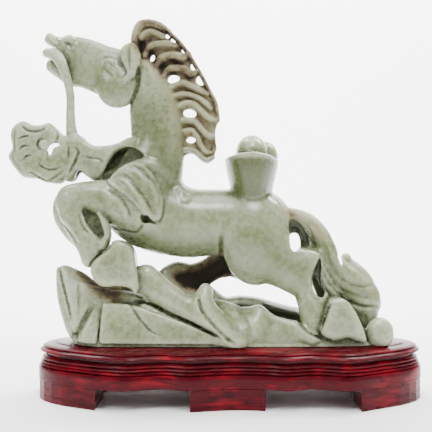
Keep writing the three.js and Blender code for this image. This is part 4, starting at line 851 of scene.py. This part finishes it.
def carve_tail(clay):
    clay.lay([[52, 2, 120, 9, 9], [64, 0, 121, 8, 11], [78, -4, 115, 9, 13], [90, -6, 102, 9.5, 14],
        [97, -8, 86, 10.5, 15], [106, -10, 70, 12, 16], [119, -12, 54, 17, 17], [133, -14, 43, 16, 16],
        [138, -14, 34, 13, 14]], 2)
    clay.lay([[98, -10, 80, 8, 12], [103, -11, 66, 9, 13], [108, -12, 54, 9, 13], [108, -13, 46, 8, 12]], 1)
    clay.lay([[116, -6, 76, 5, 8], [125, -8, 67, 8, 11], [134, -10, 56, 9, 12], [139, -12, 45, 8, 12]], 1)
    clay.lay([[126, -14, 33, 9, 11], [139, -15, 27, 9, 11], [139, -15, 14, 5, 9]], 1)
    clay.lay([[58, 6, 115, 4, 8], [70, 5, 110, 4, 8], [77, 2, 99, 4.5, 9], [82, -2, 88, 5, 10],
        [90, -8, 76, 5, 10], [96, -12, 60, 6, 11]], 1)
    clay.add(plate([[58, 121], [76, 118], [88, 104], [92, 88], [80, 86], [71.5, 90], [71, 99], [67, 104],
        [59, 104]], 2, 10, 2), 1)
    clay.lay([[63, 8, 114, 5, 6], [73, 8, 107, 6.5, 6], [78, 6, 97, 8, 7], [80, 2, 86, 9, 8],
        [86, -4, 72, 10, 8], [92, -4, 58, 11, 8], [98, -4, 44, 11, 8]], 1)
    clay.lay([[91, -15, 72, 6, 8], [97, -16, 57, 7, 8], [104, -18, 45, 7, 8]], 5)
    clay.lay([[126, -12, 27, 8, 9], [134, -13, 20, 9, 9], [139, -14, 10, 6, 8]], 2)
    clay.add(egg([116, -8, 79], [5, 7, 5.5], -30), 2)
    clay.sink(TAIL_NOTCH, THROUGH)
    clay.groove([[72, 117], [80, 108], [84, 98], [86, 90]], 2, 1)
    clay.groove([[95, 92], [100, 78], [108, 64], [120, 54], [132, 51], [144, 52]], 3.2, 1.5)
    clay.groove([[90, 72], [98, 56], [110, 43], [122, 35], [135, 31], [148, 31]], 3, 2)
    clay.groove([[101, 96], [106, 82], [115, 69], [126, 60]], 3, 1.1)
    clay.groove([[93, 84], [97, 68], [106, 53], [118, 44], [132, 41], [146, 42]], 3.4, 1.1)


# %% [markdown]
# The ingot: a tall boat round a barrel, cut off at its curved rim, with two lobes rising from it.

# %% Ingot
INGOT_MIDDLE = 22
INGOT_BOTTOM = 137
ABOVE_RIM = [[-10, 180], [4, 182.5], [22, 184.5], [38, 182.5], [54, 178], [56, 214], [22, 222], [-12, 214]]


def boat(half_width, half_length, rim, foot_width, edge):
    """A many-sided tub: its half width and half length at the rim, and its foot."""
    points = []
    for k in range(12):
        across, deep = math.cos(k * math.pi / 6), math.sin(k * math.pi / 6)
        points.append([INGOT_MIDDLE + half_width * across, half_length * deep, rim])
        points.append([INGOT_MIDDLE + half_width * 0.95 * across, half_length * 0.9 * deep, rim - 12])
        points.append([INGOT_MIDDLE + foot_width * across, half_length * 0.62 * deep, INGOT_BOTTOM])
    return rock(points, edge)


def carve_ingot(clay):
    clay.add(boat(30.5, 32.5, 187.5, 20, 2.5), 2)
    clay.lay([[22, 0, 140, 18, 26], [22, 0, 152, 21, 34], [22, 0, 166, 24.5, 40], [22, 0, 176, 26.5, 42]], 4)
    clay.sink(ABOVE_RIM, THROUGH, 1.5)
    clay.add(egg([36, 14, 180], [12, 14, 15.5]), 3)
    clay.add(egg([22, 0, 184], [15.8, 20, 18]), 2)
    clay.groove([[0, 178], [8, 182], [22, 184.5], [36, 182], [44, 177]], 2, -1.2, -20)


# %% [markdown]
# Rocks on the left, a long spear-shaped rock in the middle and waves on the right.

# %% Ground
WAVE_GAP = [[33, 34], [42, 32], [55, 29], [67, 25], [68, 17], [58, 18], [47, 21], [38, 27]]


def carve_ground(clay):
    clay.add(rock([[-174, -4, 70], [-166, -10, 74], [-150, 2, 68], [-174, -16, 50], [-172, -20, 32],
        [-165, -30, 8], [-158, -34, -3], [-157, -36, 14], [-160, 20, 4], [-172, 22, 40], [-168, 20, 62],
        [-140, 25, 10]], 0.8))
    clay.add(rock([[-170, -12, 71], [-163, -10, 74], [-145, -6, 66], [-127, -12, 50], [-127, -30, 37],
        [-129, -34, 28], [-157, -40, 6], [-151, -44, -6], [-133, -46, -8], [-163, 20, 58], [-130, 24, 46],
        [-130, 36, 2], [-156, 26, 4]], 0.8), 1)
    clay.add(rock([[-150, -24, 56], [-118, -20, 48], [-116, -34, 34], [-150, -36, 20], [-160, -20, 20],
        [-158, -34, -6], [-112, -36, -6], [-150, 20, 50], [-118, 20, 44], [-156, 20, -1]], 0.8), 1)
    clay.add(rock([[-128, -40, 34], [-99, -38, 34], [-88, -40, 30], [-60, -42, 20], [-32, -44, 9],
        [-6, -46, -2], [-2, -46, -8], [-131, -46, -8], [-120, -8, 33], [-60, -4, 24], [0, 0, 6],
        [-120, 8, 6], [0, 10, 4]], 0.8), 1)
    clay.lay([[-84, -30, 58, 15, 10], [-66, -32, 44, 13, 10], [-44, -36, 30, 11, 9], [-24, -40, 17, 8, 8],
        [-7, -43, 4, 4, 5]], 1)
    clay.add(rock([[-126, 12, 48], [-92, 8, 56], [-76, 6, 62], [-62, 4, 70], [-50, 10, 72], [-28, 2, 46],
        [-24, 10, 50], [-126, 36, 44], [-60, 38, 60], [-20, 34, 36], [-126, 38, 2], [0, 38, 2],
        [-126, 6, 10], [-10, -20, 8], [-60, -24, 30]], 0.8), 1)
    clay.add(rock([[-24, -14, 44], [-16, -18, 42], [22, -18, 34], [36, -18, 26], [60, -20, 19],
        [84, -22, 11], [-26, -44, 2], [-26, -44, -8], [20, -46, -8], [96, -44, -8], [96, -44, -2],
        [60, -40, 11], [10, -38, 24], [-24, -2, 38], [20, -4, 26], [60, -8, 8], [90, -4, 0]], 2), 3)
    clay.lay([[-24, -30, 47, 7, 9], [-26, -34, 38, 9, 10], [-21, -37, 26, 10, 10], [-13, -39, 15, 10, 9],
        [-3, -41, 4, 9, 8], [8, -43, -6, 7, 6]], 11)
    clay.lay([[27, -24, 25, 6, 8], [28, -30, 18, 7, 8], [22, -36, 8, 8, 7]], 9)
    clay.lay([[30, -26, 25, 6, 8], [48, -28, 17, 7, 9], [66, -34, 9, 8, 8], [82, -38, -1, 7, 7]], 5)
    clay.lay([[-22, 4, 45, 7, 12], [-6, 8, 34, 7, 14], [10, 8, 36, 6, 14], [28, 8, 34, 6, 14],
        [46, 10, 29, 6, 14], [62, 10, 25, 6, 14], [76, 8, 22, 7, 14]], 2)
    clay.lay([[36, 8, 25, 7, 9], [54, 8, 22, 7, 9], [70, 8, 17, 7, 9]], 2)
    clay.sink(WAVE_GAP, -6)
    clay.lay([[-132, 4, 49, 6, 10], [-114, 4, 48, 6, 10]], 2)
    clay.lay([[-122, -16, 38, 9, 10], [-106, -18, 39, 8, 10], [-92, -18, 37, 7, 10], [-78, -18, 32, 6, 10]],
        4)
    rim = [[-157, -20], [-148, -34], [-128, -45], [-60, -46], [0, -47], [70, -46], [128, -41], [144, -32],
        [152, -12], [150, 20], [130, 34], [70, 42], [-110, 42], [-150, 26]]
    at_ground = [[EYE_X + (x - EYE_X) / widening(y), y, EYE_Z - (EYE_Z + 6) / widening(y)] for x, y in rim]
    raised = [[x * 0.93, y * 0.75, 9] for x, y in rim]
    clay.add(rock(at_ground + raised, 0.8), 2)
    clay.add(rock([[-20, -6, 30], [60, -6, 14], [86, 0, 16], [100, 6, 14], [-20, 34, 30], [60, 34, 20],
        [110, 30, 8], [-30, 36, 4], [120, 36, 0], [-20, -30, 6], [110, -20, 2]], 1), 2)
    clay.add(egg([150, -31, 4], [14, 10, 16]), 1)
    clay.groove([[-170, 69], [-167, 55], [-162, 35], [-158, 17]], 2, 2.5)
    clay.groove([[-137, 32], [-146, 16], [-154, -2]], 5, 4)
    clay.groove([[-99, 33], [-91, 20], [-79, 6], [-72, 3]], 2.2, 2.2)
    clay.lay([[-84, -28, 33, 5, 8], [-60, -30, 22, 4.5, 8], [-35, -34, 11, 4, 8], [-14, -38, 2, 3, 6]], 3)
    clay.groove([[-98, 37], [-80, 33], [-60, 23], [-35, 12], [-10, 0]], 3, 3.2)
    clay.groove([[-31, 41], [-29, 30], [-23, 20], [-14, 10], [-4, 0], [6, -8]], 3, 2.6)
    clay.groove([[10, 34], [12, 22], [18, 10], [20, 0]], 6, 1.6)


# %% [markdown]
# The block is carved in the order that lets each part lie over the one behind it. What is not
# joined to the rest falls away, the underside is sawn flat, and the skin is thinned where it is
# flat, to stay under 200,000 triangles.

# %% Carve the horse
FINE_TRIANGLES = 190000


def main_body(points, faces):
    """The largest connected piece of the skin."""
    label = np.arange(len(points))
    while True:
        least = label[faces].min(axis=1)
        before = label.copy()
        for k in range(4):
            np.minimum.at(label, faces[:, k], least)
        label = label[label]
        if (before == label).all():
            break
    names, sizes = np.unique(label[faces[:, 0]], return_counts=True)
    kept = faces[label[faces[:, 0]] == names[sizes.argmax()]]
    used, index = np.unique(kept, return_inverse=True)
    return points[used], index.reshape(kept.shape)


clay = Clay([-230, -58, -10], [163, 54, 325], CELL)
for carve in (carve_ground, carve_far_legs, carve_body, carve_tail, carve_head, carve_mane, carve_ruyi,
              carve_near_legs, carve_leg_lines, carve_shoulder, carve_ingot):
    carve(clay)
z_all = clay.low[2] + np.arange(clay.count[2]) * clay.cell
clay.field = np.maximum(clay.field, (UNDERSIDE - z_all)[None, None, :].astype(np.float32))
points, faces = main_body(*skin(clay))
print("carved", len(points), "points")


def smeared(field, cells):
    """The field averaged over a cube of cells, by running sums."""
    out = field
    for axis in range(3):
        total = np.cumsum(np.pad(out, [(cells + 1, cells) if k == axis else (0, 0) for k in range(3)],
                                 mode="edge"), axis=axis, dtype=np.float32)
        size = field.shape[axis]
        high = np.take(total, range(2 * cells + 1, 2 * cells + 1 + size), axis=axis)
        low = np.take(total, range(0, size), axis=axis)
        out = (high - low) / (2 * cells + 1)
    return out


def sampled(field, at):
    """The field at points, taken from the nearest grid point."""
    index = np.rint((at - clay.low) / clay.cell).astype(int)
    index = np.clip(index, 0, np.array(field.shape) - 1)
    return field[tuple(index.T)]


# Where the carving is hollow, more stone than air lies around a point of its skin
HOLLOW_LIMIT = 6
FINE_REACH = 3
BROAD_REACH = 7

around = np.clip(clay.field, -HOLLOW_LIMIT, HOLLOW_LIMIT)
fine, broad = (sampled(smeared(around, int(reach / CELL)) - around, points)
               for reach in (FINE_REACH, BROAD_REACH))
# Positive values are painted shade in hollows, negative ones painted highlights on edges and ridges.
hollow_at = np.clip(-(fine * 0.9 + broad * 0.6), -1, 1)

# %% [markdown]
# The stone was stained brown along the mane's rim and top, on the tail's root, and on the far hind
# leg. The hollow behind the front hoof is darkened the same way, as painted shade. Other parts are
# more olive than the rest, partly from the stone's own tone and partly as painted shade on the belly
# and lower body. Each is painted along a drawn path, and the deepest hollows are darkened with
# painted shade inside their outlines.

# %% Stains
def near_path(path, width):
    """One on a drawn path, fading to nothing at the width."""
    return np.clip(1 - path_distance(spline(path, 3), u_at, v_at) / width, 0, 1)


def rise(values, start, over):
    """Nothing up to start, and one from start + over."""
    return np.clip((values - start) / over, 0, 1)


def painted(*rows):
    """The strongest of some paths at each point; each has its width, its strength and limits."""
    level = np.zeros(len(points))
    for path, width, strength, *limits in rows:
        level = np.maximum(level, near_path(path, width) * strength * math.prod(limits))
    return level


y_at = points[:, 1]
u_at = EYE_X + (points[:, 0] - EYE_X) / widening(y_at)
v_at = EYE_Z + (points[:, 2] - EYE_Z) / widening(y_at)
stain_and_shade_at = painted(
    ([[-90, 318], [-76, 314], [-62, 304], [-46, 288], [-32, 268], [-20, 246]], 13, 0.95),
    ([[-93, 296], [-86, 290], [-76, 280], [-66, 268], [-56, 262]], 13, 1.1),
    ([[-60, 280], [-48, 268], [-38, 262]], 14, 0.9),
    ([[-20, 246], [-13, 226], [-12, 204], [-18, 186]], 9, 0.75),
    ([[-85, 300], [-60, 275], [-38, 235], [-30, 195]], 34, 0.5),
    (MANE_RIM, 5, 0.85),
    ([[58, 124], [78, 118], [92, 104]], 10, 0.55),
    ([[112, 82], [130, 66], [146, 44]], 10, 0.3),
    ([[-6, 70], [-30, 59], [-46, 56]], 18, 1.7, rise(y_at, -8, 8)),
    # These two rows paint shade into the hollow behind the front hoof, on its recessed points only.
    ([[-124, 42], [-98, 42], [-74, 38]], 14, 0.8, rise(y_at, -24, 14)),
    ([[-138, 54], [-128, 46], [-112, 42]], 12, 0.9, rise(y_at, -42, 6)),
    ([[-150, 66], [-140, 56], [-128, 43]], 9, 0.95),
    ([[-126, 0], [-88, -3]], 5, 0.4))
# Darker olive: partly the stone's own tone, partly painted shade on the belly and the lower body.
olive_and_shade_at = painted(
    ([[20, 180], [21, 130]], 44, 1.3, rise(v_at, 137, 6), rise(-v_at, -182, 5)),
    ([[-80, 214], [-66, 180], [-60, 150]], 42, 0.8),
    ([[-100, 98], [-60, 86], [-20, 88]], 26, 0.5),
    ([[20, 92], [56, 78], [76, 66]], 34, 0.42),
    ([[92, 96], [104, 72], [116, 50], [140, 44]], 20, 0.6),
    ([[-100, 150], [-92, 116]], 24, 0.3),
    ([[-122, 252], [-104, 244]], 28, 0.32),
    ([[-150, 276], [-118, 268]], 30, 0.16),
    ([[-78, 262], [-72, 214]], 34, 0.2),
    ([[-80, 300], [-60, 278], [-44, 260]], 26, 0.6))
olive_and_shade_at = np.maximum(olive_and_shade_at, 0.1 * rise(v_at, 55, 25) * rise(-v_at, -188, 10))

# Each deep hollow gets painted shade: its outline, the depth where the shade starts, and how dark it gets
HOLLOWS = [(RIBBON_HOLLOW, -27, 1.3), (SHIN_HOLLOW, -40, 0.9), (TAIL_HOLLOW, -12, 1.1),
           (HOCK_HOLLOW, -30, 1.15), (WAVE_GAP, -18, 1.25)]
for outline, front, strength in HOLLOWS:
    inside = outline_distance(spline(outline, 3, closed=True), u_at, v_at) < 1
    deep = rise(y_at, front, 6) * (y_at < 12)
    hollow_at = np.maximum(hollow_at, np.where(inside, deep * strength, -1))


# %% [markdown]
# The carving is brought to its true size and place on the platform, and its skin is thinned.

# %% Finished carving
mesh = bpy.data.meshes.new("horse_carving")
true_points = points * PART
true_points[:, 2] += horse_low[2] - UNDERSIDE * PART
true_points[:, 0] += stand_middle[0]
true_points[:, 1] += stand_middle[1]
true_points = np.clip(true_points, horse_low, horse_high)
mesh.from_pydata(true_points, [], faces.tolist())
for name, values in (("hollow", hollow_at), ("stain_and_shade", stain_and_shade_at), ("olive_and_shade", olive_and_shade_at)):
    mesh.attributes.new(name, "FLOAT", "POINT").data.foreach_set("value", values.astype(np.float32))
mesh.update()
carving = bpy.data.objects.new("horse_carving", mesh)
bpy.context.scene.collection.objects.link(carving)
mesh.materials.append(jade)
triangles = 2 * len(faces)
if triangles > FINE_TRIANGLES:
    thin = carving.modifiers.new("thinned", "DECIMATE")
    thin.ratio = FINE_TRIANGLES / triangles
    evaluated = carving.evaluated_get(bpy.context.evaluated_depsgraph_get())
    thinned = bpy.data.meshes.new_from_object(evaluated)
    carving.modifiers.clear()
    carving.data = thinned
carving.data.polygons.foreach_set("use_smooth", [True] * len(carving.data.polygons))
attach(carving, "root")
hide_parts("horse")
print("horse has", len(carving.data.polygons), "faces")

# %% [markdown]
# The stand's mouldings were run by hand along a waved outline. The same outline, drawn finely, is
# offset inwards to each line of the moulding's profile and lofted.

# %% Stand
STAND_STEPS = 480
LOBE_DEPTH = 7 * MM
MOULDING_REACH = 15 * MM
APRON_BEAD = 5.5 * MM
APRON_WALL = 13 * MM


def stand_outline():
    """Evenly spaced points round the stand, in plan."""
    a = (apron_high[0] - apron_low[0]) / 2
    b = (apron_high[1] - apron_low[1]) / 2
    lobe = LOBE_DEPTH
    front = [(-a, 0), (-0.982 * a, 0.22 * b), (-0.929 * a, 0.43 * b), (-0.845 * a, 0.62 * b),
             (-0.732 * a, 0.78 * b), (-0.625 * a, 0.92 * b), (-0.494 * a, b), (-0.34 * a, b - lobe * 0.9),
             (-0.208 * a, b - MM), (-0.089 * a, b - lobe * 0.8), (0.042 * a, b - lobe * 1.15),
             (0.161 * a, b - lobe * 0.8), (0.274 * a, b - MM), (0.405 * a, b - lobe * 0.9),
             (0.548 * a, b), (0.637 * a, 0.94 * b), (0.732 * a, 0.79 * b), (0.845 * a, 0.62 * b),
             (0.929 * a, 0.43 * b), (0.982 * a, 0.22 * b), (a, 0)]
    loop = [(x, -y) for x, y in front] + front[-2:0:-1]
    fine_loop = spline(loop, 24, closed=True)
    steps = np.linalg.norm(np.roll(fine_loop, -1, axis=0) - fine_loop, axis=1)
    length = np.concatenate([[0], np.cumsum(steps)])
    want = np.arange(STAND_STEPS) * length[-1] / STAND_STEPS
    around_loop = np.vstack([fine_loop, fine_loop[:1]])
    even = np.stack([np.interp(want, length, around_loop[:, k]) for k in range(2)], axis=1)
    return even + stand_middle[:2]


OUTLINE = stand_outline()


def ring(distance, z):
    """The outline moved inwards by a distance, at a height."""
    ahead = np.roll(OUTLINE, -1, axis=0) - np.roll(OUTLINE, 1, axis=0)
    ahead /= np.linalg.norm(ahead, axis=1)[:, None]
    moved = OUTLINE + np.stack([-ahead[:, 1], ahead[:, 0]], axis=1) * distance
    return np.column_stack([moved, np.full(len(moved), z)])


def loft(name, rings, closed_chain=False):
    """Joins rings of equal count; open chains are capped with one face at each end."""
    count = len(rings[0])
    points_of = np.concatenate(rings)
    spans = len(rings) if closed_chain else len(rings) - 1
    faces_of = []
    for r in range(spans):
        low, high = r * count, (r + 1) % len(rings) * count
        for i in range(count):
            j = (i + 1) % count
            faces_of.append((low + i, low + j, high + j, high + i))
    if not closed_chain:
        faces_of.append(tuple(range(count - 1, -1, -1)))
        faces_of.append(tuple((len(rings) - 1) * count + i for i in range(count)))
    made = bpy.data.meshes.new(name)
    made.from_pydata(points_of.tolist(), [], faces_of)
    made.polygons.foreach_set("use_smooth", [True] * len(made.polygons))
    made.materials.append(lacquer)
    made.set_sharp_from_angle(angle=math.radians(32))
    obj = bpy.data.objects.new(name, made)
    bpy.context.scene.collection.objects.link(obj)
    return obj


# Moulded edges, bottom to top: share of the reach in, share of the height up
BOARD_PROFILE = [(0.45, 0), (0.45, 0.24), (0.3, 0.27), (0.14, 0.29), (0.1, 0.33), (0.09, 0.4),
                 (0.12, 0.47),
                 (0.2, 0.54), (0.27, 0.6), (0.3, 0.64), (0.25, 0.68), (0.27, 0.75), (0.34, 0.81),
                 (0.42, 0.86), (0.6, 0.885), (0.8, 0.91), (0.93, 0.93), (0.95, 0.97), (1, 1)]
APRON_PROFILE = [(0.05, 0), (0, 0.02), (0, 0.3), (0, 0.5), (0.05, 0.53), (0.4, 0.54), (0.46, 0.56),
                 (0.28, 0.585),
                 (0.22, 0.62), (0.28, 0.655), (0.54, 0.67), (0.6, 0.69), (0.42, 0.715), (0.36, 0.75),
                 (0.44, 0.785), (0.74, 0.8), (0.8, 0.82), (0.6, 0.85), (0.55, 0.89), (0.62, 0.93),
                 (0.85, 0.95), (1, 1)]

board_height = board_high[2] - board_low[2]
board = loft("stand_board", [ring(reach * MOULDING_REACH, board_low[2] + up * board_height)
                             for reach, up in BOARD_PROFILE])
apron_height = apron_high[2] - apron_low[2]
apron_rings = [ring(reach * APRON_BEAD, apron_low[2] + up * apron_height) for reach, up in APRON_PROFILE]
apron_rings += [ring(APRON_WALL, apron_high[2]), ring(APRON_WALL, apron_low[2])]
apron = loft("stand_frame", apron_rings, closed_chain=True)
for obj, node in ((board, "stand_top"), (apron, "stand_apron")):
    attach(obj, "root")
    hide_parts(node)


# %% [markdown]
# The feet are plain blocks under the frame, their outer faces following it. They stay as they are
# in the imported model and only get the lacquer.

# %% Feet
for name, node in nodes.items():
    if name.startswith("foot_"):
        node.data.materials.clear()
        node.data.materials.append(lacquer)
print("stand done")

# %% [markdown]
# The object stands on a plain pale floor that runs up behind it, in soft studio light.

# %% Floor and light
SWEEP_START = 0.9
SWEEP_RADIUS = 0.6
SWEEP_TOP = 3.0
SWEEP_STEPS = 12
HALF_WIDTH = 4.0

section = [(-HALF_WIDTH, 0.0), (SWEEP_START, 0.0)]
for step in range(1, SWEEP_STEPS + 1):
    turn = step * math.pi / (2 * SWEEP_STEPS)
    section.append((SWEEP_START + SWEEP_RADIUS * math.sin(turn), SWEEP_RADIUS * (1 - math.cos(turn))))
section.append((SWEEP_START + SWEEP_RADIUS, SWEEP_TOP))
sweep_points = [(x, y, z) for y, z in section for x in (-HALF_WIDTH, HALF_WIDTH)]
sweep_faces = [(2 * k, 2 * k + 1, 2 * k + 3, 2 * k + 2) for k in range(len(section) - 1)]
floor_mesh = bpy.data.meshes.new("floor")
floor_mesh.from_pydata(sweep_points, [], sweep_faces)
floor_mesh.polygons.foreach_set("use_smooth", [True] * len(sweep_faces))
floor = bpy.data.objects.new("floor", floor_mesh)
bpy.context.scene.collection.objects.link(floor)
floor_material, tree, shader = new_material("plain_pale_floor")
connect(tree, shader, Base_Color=linear("f8f8f7"), Roughness=0.9, Specular_IOR_Level=0.2)
floor_mesh.materials.append(floor_material)


def soft_light(name, place_at, aim_at, size, energy):
    """A round lamp turned towards a place."""
    lamp = bpy.data.objects.new(name, bpy.data.lights.new(name, "AREA"))
    lamp.data.shape = "DISK"
    lamp.data.size = size
    lamp.data.energy = energy
    lamp.location = place_at
    aim = Vector(aim_at) - Vector(place_at)
    lamp.rotation_euler = aim.to_track_quat("-Z", "Y").to_euler()
    bpy.context.scene.collection.objects.link(lamp)


OBJECT_MIDDLE = (0, 0, 0.15)
soft_light("window_left", (-0.8, -0.9, 1.1), OBJECT_MIDDLE, 0.6, 11)
soft_light("fill_right", (1.1, -0.8, 0.6), OBJECT_MIDDLE, 0.9, 3.5)
soft_light("top", (0.1, -0.1, 1.5), OBJECT_MIDDLE, 0.8, 13)
soft_light("strip_above", (0.08, -0.55, 0.95), (0.02, 0, 0.12), 0.3, 8)
soft_light("backdrop_left", (-0.7, 0.45, 1.3), (-0.3, 1.5, 0.5), 0.8, 75)
soft_light("backdrop_right", (0.7, 0.45, 1.3), (0.3, 1.5, 0.5), 0.8, 75)
world = bpy.data.worlds.new("studio")
bpy.context.scene.world = world
world.use_nodes = True
tree = world.node_tree
direction = add_node(tree, "ShaderNodeTexCoord", "Generated")
upward = add_node(tree, "ShaderNodeSeparateXYZ", "Z", Vector=direction)
room = ranged(tree, upward, From_Min=-0.1, From_Max=0.9, To_Min=0.22, To_Max=0.8)
connect(tree, tree.nodes["Background"], Color=(1.0, 1.0, 1.0, 1.0), Strength=room)
